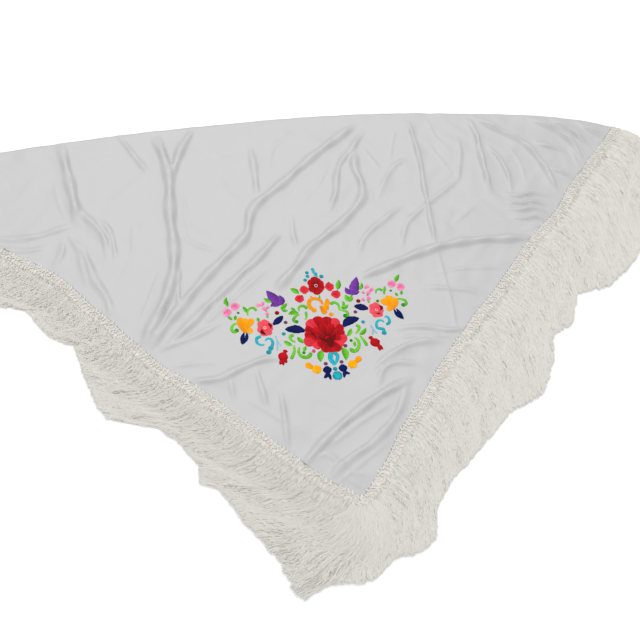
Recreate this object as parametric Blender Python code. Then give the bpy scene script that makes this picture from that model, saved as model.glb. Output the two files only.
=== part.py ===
"""A triangular embroidered shawl with a fringed heading, laid out on a flat surface.

The cloth is half a square, so its two short edges meet at a right angle, the point, and its long edge
bows outwards a little. A knotted heading with long fringe runs down both short edges. Each heading and
its locks of fringe are one solid, and so is the cloth with its folds.

Units: tables hold centimetres in plan and millimetres for heights. The model is in metres, +Z up.
The origin is on the surface under the middle of the embroidered spray, on the line of symmetry, with
+X along the long edge and +Y from the point towards the long edge.
"""

import math
from collections import namedtuple

import bmesh
import bpy
from mathutils import Vector
from mathutils.geometry import delaunay_2d_cdt

CM = 0.01
MM = 0.001

# Driving sizes of the cloth.
POINT_BELOW_ORIGIN = 34.5
LEG_LENGTH = 108.2
POINT_ROUNDING = 1.2
CLOTH_THICKNESS = 1.5
LONG_EDGE_SPACING = 3.2
POINT_ARC_STEPS = 6
BACKGROUND_SPACING = 6.5
BACKGROUND_CLEARANCE = 2.0
NEAREST_POINTS = 0.7
EDGE_CLEARANCE = 1.1

# Driving sizes of the heading, and of how it turns at the corners.
HEADING_WIDTH = 3.2
HEADING_THICKNESS = 3.0
SEAM_GAP = 0.035
CORNER_BLEND = 15.0
CORNER_TURN = 0.75

# Driving sizes of the locks of fringe: their pitch along the heading, the share of it that they fill,
# their rings and their heights.
LOCK_PITCH = 1.25
LOCK_SHARE = 0.86
POINT_LOCK_PITCH = 0.42
RING_SPACING = 4.0
SHORTEST_RUN = 1.2
LOCK_TAPER = 0.55
LOCK_BODY_HEIGHT = 7.5
LOCK_END_HEIGHT = 3.0
LOCK_THINNING = 22.5
PILE_REACH = 1.15

# How uneven the locks are: one part in so many of their height and length, and the turn in radians
# from each lock to the next.
HEIGHT_UNEVENNESS = 0.35
HEIGHT_TURN = 3.4
LENGTH_UNEVENNESS = 0.03
LENGTH_TURN = 4.6

# The line of a lock: the length over which it turns, its waves and its clumps.
TURN_LENGTH = 9.0
WAVE_SWING = 11.0
WAVE_LENGTH = 7.5
WAVE_DRIFT = 17.0
CLUMP_SWING = 1.8
CLUMP_PITCH = 11.0
STEP = 0.5
LONGEST_STRAND = 30.0
SHORTEST_STRAND = 3.5

# The long edge between the two corners, from left to right.
EdgePoint = namedtuple("EdgePoint", "x y")
LONG_EDGE = [
    EdgePoint(-57.0, 45.0),
    EdgePoint(-30.0, 48.0),
    EdgePoint(0.0, 49.8),
    EdgePoint(22.0, 49.8),
    EdgePoint(45.0, 48.3),
    EdgePoint(60.0, 46.5),
    EdgePoint(70.0, 44.4),
]

# How far each short edge wanders outwards from its straight line, by the distance from the point.
Wander = namedtuple("Wander", "along out")
WANDER = {
    "left": [
        Wander(2, 0.0),
        Wander(7, 0.7),
        Wander(21, 0.6),
        Wander(35, 0.5),
        Wander(42, 1.0),
        Wander(49, 0.4),
        Wander(56, -0.4),
        Wander(68, -1.6),
        Wander(80, 0.0),
        Wander(109, -0.3),
    ],
    "right": [
        Wander(2, 0.0),
        Wander(7, -0.2),
        Wander(16, -1.2),
        Wander(32, -1.9),
        Wander(43, -1.9),
        Wander(52, -1.3),
        Wander(66, -1.4),
        Wander(78, -0.1),
        Wander(86, -0.6),
        Wander(109, 0.0),
    ],
}

# The clockwise turn of the strands once they lie on the surface, by the distance from the point.
Sweep = namedtuple("Sweep", "along degrees")
SWEEP = {
    "left": [Sweep(0, 52), Sweep(20, 58), Sweep(55, 62), Sweep(80, 44), Sweep(109, 22)],
    "right": [Sweep(0, 52), Sweep(25, 48), Sweep(60, 50), Sweep(90, 46), Sweep(109, 62)],
}

# Where the fringe ends, from the left corner round the point to the right corner.
HemPoint = namedtuple("HemPoint", "x y")
HEM_LEFT = [
    HemPoint(-76.0, 47.0),
    HemPoint(-87.0, 46.0),
    HemPoint(-90.0, 40.0),
    HemPoint(-86.5, 33.0),
    HemPoint(-80.0, 29.5),
    HemPoint(-76.0, 24.0),
    HemPoint(-69.0, 19.5),
    HemPoint(-64.0, 14.0),
    HemPoint(-57.0, 9.5),
    HemPoint(-52.5, 8.3),
    HemPoint(-49.0, 2.5),
    HemPoint(-44.5, 0.0),
    HemPoint(-43.2, -6.0),
    HemPoint(-41.5, -12.0),
    HemPoint(-39.5, -15.3),
    HemPoint(-32.0, -17.0),
    HemPoint(-28.3, -20.7),
    HemPoint(-26.0, -24.5),
    HemPoint(-26.4, -27.6),
    HemPoint(-23.3, -28.8),
    HemPoint(-20.0, -35.0),
]
HEM_POINT = [
    HemPoint(-15.0, -43.0),
    HemPoint(-14.2, -47.5),
    HemPoint(-12.0, -48.8),
    HemPoint(-9.5, -47.0),
    HemPoint(-1.5, -47.7),
    HemPoint(3.5, -44.5),
    HemPoint(8.0, -44.4),
    HemPoint(10.8, -42.6),
    HemPoint(12.3, -37.5),
]
HEM_RIGHT = [
    HemPoint(16.0, -33.5),
    HemPoint(25.0, -27.0),
    HemPoint(30.0, -23.0),
    HemPoint(37.5, -20.3),
    HemPoint(42.3, -13.5),
    HemPoint(43.8, -8.4),
    HemPoint(48.3, -6.7),
    HemPoint(52.0, 0.0),
    HemPoint(59.0, 0.7),
    HemPoint(65.0, 4.3),
    HemPoint(72.0, 10.5),
    HemPoint(78.0, 18.0),
    HemPoint(86.0, 24.5),
    HemPoint(91.0, 33.0),
    HemPoint(90.0, 39.0),
    HemPoint(84.0, 42.5),
    HemPoint(76.0, 45.0),
]

# The folds that stand up from the cloth: width from foot to foot in centimetres, height in millimetres,
# and the crest's points in plan.
Fold = namedtuple("Fold", "width height crest")
FOLDS = [
    # Left end.
    Fold(2.2, 7, ((-44.8, 45.0), (-43.6, 37.0), (-42.4, 27.0))),
    Fold(2.0, 4, ((-39.6, 27.5), (-37.8, 23.0), (-37.9, 17.5))),
    Fold(2.2, 4, ((-46.0, 26.2), (-50.5, 24.4), (-56.0, 24.2), (-62.0, 25.5))),
    Fold(2.4, 5, ((-47.0, 22.0), (-48.3, 18.3))),
    Fold(2.4, 6, ((-42.6, 21.5), (-41.2, 16.0), (-39.3, 11.0))),
    Fold(2.0, 4, ((-38.8, 15.0), (-37.8, 10.0), (-37.4, 5.5))),
    # The long upright fold left of the middle, its fork and its two tails.
    Fold(2.4, 9, ((-26.2, 44.5), (-25.0, 35.0), (-25.4, 26.0), (-26.0, 16.0), (-28.4, 9.5), (-32.0, 1.0))),
    Fold(1.8, 5, ((-18.8, 47.0), (-21.6, 42.0), (-23.8, 36.5))),
    Fold(1.8, 5, ((-25.0, 13.0), (-25.7, 8.0), (-26.9, 2.5))),
    Fold(1.6, 3, ((-33.2, 46.5), (-30.6, 42.0), (-28.0, 37.2))),
    # Long diagonals from the left edge up to the long edge.
    Fold(2.2, 7, ((-29.5, -1.0), (-24.0, 6.0), (-17.5, 13.6), (-11.6, 20.5), (-9.0, 26.0))),
    Fold(2.2, 6, ((-6.0, 29.0), (0.5, 34.2), (8.0, 40.0), (15.8, 46.3))),
    Fold(2.0, 6, ((-21.0, 6.2), (-14.5, 10.6), (-9.0, 15.2), (-5.8, 19.5))),
    Fold(1.8, 3, ((-30.0, -2.8), (-25.5, 0.2), (-19.5, 2.6))),
    Fold(1.8, 4, ((-7.6, 43.0), (-7.5, 37.0), (-7.7, 31.0))),
    Fold(1.6, 3, ((-1.8, 24.0), (-2.9, 17.0))),
    Fold(2.0, 7, ((-6.6, 9.4), (0.4, 15.6), (7.0, 22.0), (12.6, 27.5), (14.7, 34.5))),
    Fold(2.0, 5, ((7.0, 27.0), (9.0, 32.5), (13.6, 43.0))),
    Fold(1.8, 3, ((16.8, 28.0), (20.4, 33.0), (25.6, 37.4))),
    Fold(1.8, 3, ((6.5, 14.0), (13.0, 18.6), (20.2, 24.0))),
    # Upright folds right of the middle.
    Fold(1.6, 4, ((28.0, 46.0), (27.6, 37.0), (26.7, 25.5))),
    Fold(2.0, 5, ((42.2, 45.0), (41.9, 36.0), (41.3, 27.5))),
    Fold(1.8, 4, ((45.4, 37.4), (46.8, 32.6), (46.2, 27.6))),
    # Puckers drawn up at the right corner.
    Fold(2.8, 9, ((44.6, 46.2), (50.4, 41.2), (54.8, 35.2), (56.0, 27.0))),
    Fold(1.8, 4, ((56.8, 38.6), (61.4, 36.4))),
    Fold(1.8, 4, ((57.4, 31.6), (60.6, 29.2))),
    Fold(2.0, 7, ((59.4, 44.2), (63.6, 39.6), (65.0, 34.4))),
    Fold(2.0, 7, ((65.0, 43.8), (67.0, 39.6), (68.4, 36.6))),
    Fold(1.8, 5, ((70.4, 42.4), (72.6, 39.4))),
    Fold(1.6, 3, ((46.0, 23.6), (53.6, 22.2))),
    Fold(1.6, 3, ((45.6, 19.4), (51.0, 18.6))),
    # Below and beside the embroidery.
    Fold(2.2, 8, ((9.4, 8.8), (18.6, 11.6), (27.0, 13.9), (36.0, 14.3), (44.6, 14.0))),
    Fold(1.8, 4, ((13.4, -3.0), (19.6, -3.8), (25.8, -5.2))),
    Fold(2.0, 6, ((8.2, -13.8), (12.0, -9.8), (21.6, -6.8))),
    Fold(2.0, 8, ((-8.4, -26.0), (0.2, -19.6), (6.0, -16.0), (14.0, -12.2))),
    Fold(2.0, 6, ((-4.2, -28.6), (3.6, -24.4), (9.0, -21.0), (12.2, -16.6))),
    Fold(2.0, 6, ((-24.0, -9.0), (-17.0, -8.0), (-12.2, -6.9))),
    Fold(1.6, 4, ((-14.0, -9.4), (-13.2, -15.4))),
    Fold(1.8, 4, ((-10.3, -14.0), (-10.8, -23.8))),
]
FOLD_SPACING = 3.6
FOLD_END_TAPER = 3.0
FOLD_END_SHARE = 0.13

WHITE_CREPE = ("shawl_cloth", (0.80, 0.80, 0.81, 1.0), 0.42)
FRINGE_YARN = ("fringe_yarn", (0.82, 0.81, 0.77, 1.0), 0.60)

SIDES = ("left", "right")
TURN_OF_SIDE = {"left": -1.0, "right": 1.0}


def clear_scene():
    for obj in list(bpy.data.objects):
        bpy.data.objects.remove(obj, do_unlink=True)


def material(name, colour, roughness):
    made = bpy.data.materials.new(name)
    made.use_nodes = True
    shader = made.node_tree.nodes["Principled BSDF"]
    shader.inputs["Base Color"].default_value = colour
    shader.inputs["Roughness"].default_value = roughness
    shader.inputs["Metallic"].default_value = 0.0
    return made


def finish(mesh, name, finish_material):
    """Turns a finished bmesh into a named object with its one material."""
    bmesh.ops.recalc_face_normals(mesh, faces=mesh.faces)
    data = bpy.data.meshes.new(name)
    mesh.to_mesh(data)
    mesh.free()
    data.materials.append(finish_material)
    bpy.context.scene.collection.objects.link(bpy.data.objects.new(name, data))


def looked_up(rows, position):
    """Smooth value of a two-column table at a position, level past either end."""
    if position <= rows[0][0]:
        return rows[0][1]
    for (low, low_value), (high, high_value) in zip(rows, rows[1:]):
        if position <= high:
            share = (position - low) / (high - low)
            return low_value + (high_value - low_value) * share * share * (3 - 2 * share)
    return rows[-1][1]


def curve_through(points, spacing):
    """Points about one spacing apart on the Catmull-Rom curve through the given points."""
    knots = [Vector(p) for p in points]
    before, after = 2 * knots[0] - knots[1], 2 * knots[-1] - knots[-2]
    padded = [before, *knots, after]
    found = [knots[0]]
    for a, b, c, d in zip(padded, padded[1:], padded[2:], padded[3:]):
        count = max(1, round((c - b).length / spacing))
        for step in range(1, count + 1):
            t = step / count
            found.append(
                0.5
                * (
                    2 * b
                    + (c - a) * t
                    + (2 * a - 5 * b + 4 * c - d) * t * t
                    + (3 * b - a - 3 * c + d) * t**3
                )
            )
    return found


def along_leg(side, along):
    """The cloth's curved edge on one short side, at a distance from the point."""
    turn = TURN_OF_SIDE[side]
    slope = math.sqrt(0.5)
    out = looked_up(WANDER[side], along)
    return Vector(
        (
            turn * slope * (along + out),
            slope * (along - out) - POINT_BELOW_ORIGIN,
        )
    )


def lock_count():
    """Number of locks on a short edge, which is also its number of straight runs."""
    return round((LEG_LENGTH - POINT_ROUNDING) / LOCK_PITCH)


def edge_points(side):
    """The cloth's edge on one short side as short straight runs, from the point to the corner."""
    step = (LEG_LENGTH - POINT_ROUNDING) / lock_count()
    return [along_leg(side, POINT_ROUNDING + k * step) for k in range(lock_count() + 1)]


def on_edge(points, along):
    """Place on the straight runs of a short edge, so that the heading follows the cloth exactly."""
    place = (along - POINT_ROUNDING) / (LEG_LENGTH - POINT_ROUNDING) * lock_count()
    index = min(int(place), lock_count() - 1)
    return points[index].lerp(points[index + 1], place - index)


def long_edge_line():
    """The long edge, from corner to corner."""
    ends = [edge_points(side)[-1] for side in SIDES]
    return [ends[0], *(Vector(p) for p in LONG_EDGE), ends[1]]


def heading_angle(side, along):
    """Direction, in radians, in which the heading leaves the cloth: square to the edge, but turned
    towards the line of the long edge at the corner."""
    square = -math.pi / 2 + TURN_OF_SIDE[side] * math.pi / 4
    line = long_edge_line() if side == "right" else long_edge_line()[::-1]
    end = line[-1] - line[-2]
    level = math.atan2(end.y, end.x)
    share = max(0.0, 1 - (LEG_LENGTH - along) / CORNER_BLEND)
    return square + (level - square) * CORNER_TURN * share**2


def point_arc(angle):
    """The cloth's rounded point: the edge there, by the direction that it faces."""
    centre = Vector((0.0, POINT_ROUNDING * math.sqrt(2) - POINT_BELOW_ORIGIN))
    return centre + POINT_ROUNDING * Vector((math.cos(angle), math.sin(angle)))


def heading_stations(side):
    """(edge point, outward angle, distance from the point) along a heading, from the point to the corner.

    Locks sit between stations 0 and 1, 2 and 3, and so on.
    """
    turn = TURN_OF_SIDE[side]
    stations = []
    quarter = math.pi / 4
    half_seam = SEAM_GAP / 2 / POINT_ROUNDING
    arc_locks = round((POINT_ROUNDING + HEADING_WIDTH) * quarter / POINT_LOCK_PITCH)
    arc_step = (quarter - half_seam) / arc_locks
    for k in range(arc_locks):
        for share in (0.0, LOCK_SHARE):
            angle = -math.pi / 2 + turn * (half_seam + (k + share) * arc_step)
            stations.append((point_arc(angle), angle, 0.0))
    points = edge_points(side)
    step = (LEG_LENGTH - POINT_ROUNDING) / lock_count()
    for k in range(lock_count()):
        for share in (0.0, LOCK_SHARE):
            along = POINT_ROUNDING + (k + share) * step
            stations.append((on_edge(points, along), heading_angle(side, along), along))
    stations.append((points[-1], heading_angle(side, LEG_LENGTH), LEG_LENGTH))
    return stations


def strand_path(root, angle, sweep, phase):
    """The line that a strand follows from its root: straight out, then turned clockwise, in soft waves."""
    here, heading = Vector(root), angle
    path = [here.copy()]
    for step in range(int(LONGEST_STRAND / STEP)):
        length = (step + 0.5) * STEP
        turned = min(1.0, length / TURN_LENGTH)
        turned = turned * turned * (3 - 2 * turned)
        wave = math.sin(2 * math.pi * (length / WAVE_LENGTH + phase)) * min(1.0, length / WAVE_LENGTH)
        heading = angle - math.radians(sweep * turned + WAVE_SWING * wave)
        here = here + STEP * Vector((math.cos(heading), math.sin(heading)))
        path.append(here.copy())
    return path


def inside(outline, point):
    """True where the point is inside the outline."""
    found = False
    for a, b in zip(outline, outline[1:] + outline[:1]):
        if (a.y > point.y) != (b.y > point.y):
            if point.x < (b.x - a.x) * (point.y - a.y) / (b.y - a.y) + a.x:
                found = not found
    return found


def reach(path, hem):
    """Length of a strand that ends at the hem line."""
    for step, here in enumerate(path):
        length = step * STEP
        if length > SHORTEST_STRAND and not inside(hem, here):
            return length
    return LONGEST_STRAND


def place_on(path, length):
    """Position at a length along a path."""
    step = min(len(path) - 2, int(length / STEP))
    return path[step].lerp(path[step + 1], length / STEP - step)


def lock_height(share, number):
    """Height of a lock's top: low at the root, piled up past its middle, and thin at its end."""
    uneven = 1 + HEIGHT_UNEVENNESS * math.sin(HEIGHT_TURN * number)
    pile = max(0.0, uneven * math.sin(math.pi * min(1.0, share * PILE_REACH)))
    body = HEADING_THICKNESS + (LOCK_BODY_HEIGHT - HEADING_THICKNESS) * pile
    return min(body, LOCK_END_HEIGHT + (1 - share) * LOCK_THINNING)


def ring_places(length):
    """Lengths at which a lock has its rings: the same for all locks, and then its own end."""
    count = int((length - SHORTEST_RUN) / RING_SPACING)
    return [RING_SPACING * k for k in range(1, count + 1)] + [length]


def hem_outline():
    """The closed line round the fringe and the cloth: the fringe's ends, then straight back past the
    long edge."""
    return HEM_LEFT + HEM_POINT + HEM_RIGHT


def build_fringe(side, hem, yarn):
    """One heading strip with its locks of fringe drawn out of the strip's outer face."""
    mesh = bmesh.new()
    rings, roots = [], []
    for edge, angle, along in heading_stations(side):
        out = Vector((math.cos(angle), math.sin(angle)))
        inner = edge + SEAM_GAP * out
        outer = edge + HEADING_WIDTH * out
        roots.append((outer, angle, along))
        rings.append(
            [
                mesh.verts.new((p.x * CM, p.y * CM, z * MM))
                for p, z in (
                    (inner, 0.0),
                    (inner, HEADING_THICKNESS),
                    (outer, HEADING_THICKNESS),
                    (outer, 0.0),
                )
            ]
        )
    mesh.faces.new(rings[0])
    mesh.faces.new(rings[-1])
    for index, (near, far) in enumerate(zip(rings, rings[1:])):
        for a, b in ((0, 1), (1, 2), (3, 0)):
            mesh.faces.new((near[a], near[b], far[b], far[a]))
        if index % 2:
            mesh.faces.new((near[2], near[3], far[3], far[2]))
        else:
            draw_lock(mesh, side, hem, index // 2, (near, far), roots[index : index + 2])
    finish(mesh, f"fringe_{side}", yarn)


def draw_lock(mesh, side, hem, number, rings, roots):
    """A lock between two stations: rings that follow its two sides, and a blunt end."""
    near, far = rings
    paths = []
    for root, angle, along in roots:
        sweep = looked_up(SWEEP[side], along)
        sweep += CLUMP_SWING * math.sin(2 * math.pi * along / CLUMP_PITCH)
        phase = TURN_OF_SIDE[side] * along / WAVE_DRIFT
        paths.append(strand_path(root, angle, sweep, phase))
    middle = [a.lerp(b, 0.5) for a, b in zip(*paths)]
    length = reach(middle, hem)
    length *= 1 - LENGTH_UNEVENNESS * (1 + math.sin(LENGTH_TURN * number))
    last = [near[3], near[2], far[2], far[3]]
    for place in ring_places(length):
        share = place / length
        squeeze = 0.5 * LOCK_TAPER * share**3
        a, b = (place_on(path, place) for path in paths)
        left, right = a.lerp(b, squeeze), b.lerp(a, squeeze)
        top = lock_height(share, number)
        here = [
            mesh.verts.new((p.x * CM, p.y * CM, z * MM))
            for p, z in ((left, 0.0), (left, top), (right, top), (right, 0.0))
        ]
        for k in range(4):
            mesh.faces.new((last[k], last[(k + 1) % 4], here[(k + 1) % 4], here[k]))
        last = here
    mesh.faces.new(last)


def cloth_outline():
    """The cloth's edge in plan, once round from the left corner along the long edge."""
    long_edge = curve_through(long_edge_line(), LONG_EDGE_SPACING)
    right = edge_points("right")[-2::-1]
    step = math.pi / 2 / POINT_ARC_STEPS
    arc = [point_arc(-math.pi / 4 - k * step) for k in range(1, POINT_ARC_STEPS)]
    left = edge_points("left")[:-1]
    return long_edge + right + arc + left


def distance_to_outline(outline, point):
    return min(distance_to_line((a, b), point)[0] for a, b in zip(outline, outline[1:] + outline[:1]))


def distance_to_line(line, point):
    """(distance to a line of points, length along it of the nearest place)."""
    best, best_along, passed = math.inf, 0.0, 0.0
    for a, b in zip(line, line[1:]):
        edge = b - a
        share = max(0.0, min(1.0, (point - a).dot(edge) / edge.length_squared))
        away = (a + edge * share - point).length
        if away < best:
            best, best_along = away, passed + share * edge.length
        passed += edge.length
    return best, best_along


def cloth_height(crests, point):
    """How far the cloth lifts off the surface: the highest of the folds there."""
    lift = 0.0
    for fold, crest, length in crests:
        away, along = distance_to_line(crest, point)
        half = fold.width / 2
        if away < half:
            from_end = min(along, length - along)
            taper = min(1.0, FOLD_END_SHARE + from_end / FOLD_END_TAPER)
            lift = max(lift, fold.height * taper * (0.5 + 0.5 * math.cos(math.pi * away / half)))
    return lift


def plan_points(outline, crests):
    """Points and fixed edges of the cloth's net: its edge, each fold's crest and feet, and a coarse grid."""
    points = list(outline)
    edges = [(k, (k + 1) % len(outline)) for k in range(len(outline))]

    def add(point):
        if not inside(outline, point) or distance_to_outline(outline, point) < EDGE_CLEARANCE:
            return None
        if min((p - point).length for p in points) < NEAREST_POINTS:
            return None
        points.append(point)
        return len(points) - 1

    for _, crest, _ in crests:
        placed = [add(p) for p in crest]
        for a, b in zip(placed, placed[1:]):
            if a is not None and b is not None:
                edges.append((a, b))
    for fold, crest, _ in crests:
        for index, p in enumerate(crest):
            ahead = crest[min(index + 1, len(crest) - 1)]
            behind = crest[max(index - 1, 0)]
            along = (ahead - behind).normalized()
            across = Vector((-along.y, along.x)) * fold.width / 2
            add(p + across)
            add(p - across)
    rows = int(max(p.y + POINT_BELOW_ORIGIN for p in outline) / BACKGROUND_SPACING)
    columns = int(max(p.x for p in outline) / BACKGROUND_SPACING)
    for row in range(rows + 1):
        for column in range(-columns, columns + 1):
            place = Vector((column + 0.5 * (row % 2), row)) * BACKGROUND_SPACING
            place.y -= POINT_BELOW_ORIGIN
            if all(
                distance_to_line(crest, place)[0] > fold.width / 2 + BACKGROUND_CLEARANCE
                for fold, crest, _ in crests
            ):
                add(place)
    return points, edges


def build_cloth(crepe):
    """The cloth: one net in plan, lifted over its folds, with a second layer a thickness below it."""
    outline = cloth_outline()
    crests = []
    for fold in FOLDS:
        crest = curve_through(fold.crest, FOLD_SPACING)
        length = sum((b - a).length for a, b in zip(crest, crest[1:]))
        crests.append((fold, crest, length))
    points, edges = plan_points(outline, crests)
    net = delaunay_2d_cdt(points, edges, [], 1, 1e-4)
    spots, triangles = net[0], net[2]
    mesh = bmesh.new()
    layers = []
    lifts = [cloth_height(crests, p) for p in spots]
    for thickness in (CLOTH_THICKNESS, 0.0):
        layers.append(
            [
                mesh.verts.new((p.x * CM, p.y * CM, (lift + thickness) * MM))
                for p, lift in zip(spots, lifts)
            ]
        )
    for triangle in triangles:
        mesh.faces.new([layers[0][k] for k in triangle])
        mesh.faces.new([layers[1][k] for k in reversed(triangle)])
    mesh.verts.index_update()
    top_count = len(spots)
    rim = [e for e in mesh.edges if e.is_boundary and max(v.index for v in e.verts) < top_count]
    for edge in rim:
        a, b = (v.index for v in edge.verts)
        mesh.faces.new((layers[0][a], layers[0][b], layers[1][b], layers[1][a]))
    finish(mesh, "cloth", crepe)


def main():
    clear_scene()
    crepe = material(*WHITE_CREPE)
    yarn = material(*FRINGE_YARN)
    build_cloth(crepe)
    hem = hem_outline()
    for side in SIDES:
        build_fringe(side, hem, yarn)


main()
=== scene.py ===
"""Looks of a triangular flamenco shawl: crepe with an embroidered spray, and a knotted heading with fringe.

Tables hold centimetres in plan and millimetres for heights, on the solids' own axes: +X along the long
edge, +Y from the cloth's point towards the long edge, +Z up. Meshes and node inputs are in metres.
"""

import logging
import math
from collections.abc import Iterable, Sequence
from dataclasses import dataclass
from enum import Enum, IntEnum
from typing import NamedTuple

import bpy
import numpy as np
from bpy.types import Material, NodeSocket, NodeTree, Object
from mathutils import Matrix, Vector


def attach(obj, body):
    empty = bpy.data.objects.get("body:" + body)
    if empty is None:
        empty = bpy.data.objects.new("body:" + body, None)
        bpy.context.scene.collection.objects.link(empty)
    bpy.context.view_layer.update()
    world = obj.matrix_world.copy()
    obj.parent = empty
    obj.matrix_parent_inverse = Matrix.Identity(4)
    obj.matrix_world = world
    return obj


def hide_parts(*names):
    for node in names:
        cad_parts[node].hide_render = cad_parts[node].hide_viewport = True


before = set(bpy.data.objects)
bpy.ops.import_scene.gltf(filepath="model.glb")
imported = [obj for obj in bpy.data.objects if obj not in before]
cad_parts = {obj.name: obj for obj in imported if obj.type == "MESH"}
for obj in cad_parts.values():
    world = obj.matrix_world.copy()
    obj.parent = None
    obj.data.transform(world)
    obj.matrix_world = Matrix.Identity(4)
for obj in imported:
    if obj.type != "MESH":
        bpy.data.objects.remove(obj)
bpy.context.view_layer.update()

log = logging.getLogger("shawl")

CM = 0.01
MM = 0.001
BODY = "root"

Plan = tuple[float, float]
Range = tuple[float, float]
Colour = tuple[float, float, float, float]
Table = Sequence[tuple[float, float]]


class Side(Enum):
    """The two short edges of the shawl."""

    LEFT = "left"
    RIGHT = "right"

    @property
    def turn(self) -> float:
        """-1 for the left edge and 1 for the right one."""
        return -1.0 if self is Side.LEFT else 1.0


# The long edge between the two corners, from left to right: x, y.
LONG_EDGE = (
    (-57, 45), (-30, 48), (0, 49.8), (22, 49.8), (45, 48.3), (60, 46.5), (70, 44.4),
)

# How far each short edge wanders outwards from its straight line: distance from the point, way out.
WANDER = {
    Side.LEFT: (
        (2, 0), (7, 0.7), (21, 0.6), (35, 0.5), (42, 1), (49, 0.4), (56, -0.4), (68, -1.6), (80, 0),
        (109, -0.3),
    ),
    Side.RIGHT: (
        (2, 0), (7, -0.2), (16, -1.2), (32, -1.9), (43, -1.9), (52, -1.3), (66, -1.4), (78, -0.1),
        (86, -0.6), (109, 0),
    ),
}

# The clockwise turn of the strands once they lie on the surface: distance from the point, degrees.
SWEEP = {
    Side.LEFT: ((0, 52), (20, 58), (55, 62), (80, 44), (109, 22)),
    Side.RIGHT: ((0, 52), (25, 48), (60, 50), (90, 46), (109, 62)),
}

# Where the fringe ends, from the left corner round the point to the right corner: x, y.
HEM = (
    (-76, 47), (-87, 46), (-90, 40), (-86.5, 33), (-80, 29.5), (-76, 24), (-69, 19.5),
    (-64, 14), (-57, 9.5), (-52.5, 8.3), (-49, 2.5), (-44.5, 0), (-43.2, -6), (-41.5, -12),
    (-39.5, -15.3), (-32, -17), (-28.3, -20.7), (-26, -24.5), (-26.4, -27.6), (-23.3, -28.8),
    (-20, -35), (-15, -43), (-14.2, -47.5), (-12, -48.8), (-9.5, -47), (-1.5, -47.7),
    (3.5, -44.5), (8, -44.4), (10.8, -42.6), (12.3, -37.5), (16, -33.5), (25, -27), (30, -23),
    (37.5, -20.3), (42.3, -13.5), (43.8, -8.4), (48.3, -6.7), (52, 0), (59, 0.7), (65, 4.3),
    (72, 10.5), (78, 18), (86, 24.5), (91, 33), (90, 39), (84, 42.5), (76, 45),
)


class Fold(NamedTuple):
    """A fold that stands up from the cloth: its width, its height in millimetres and its crest in plan."""

    width: float
    height: float
    crest: tuple[Plan, ...]


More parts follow.
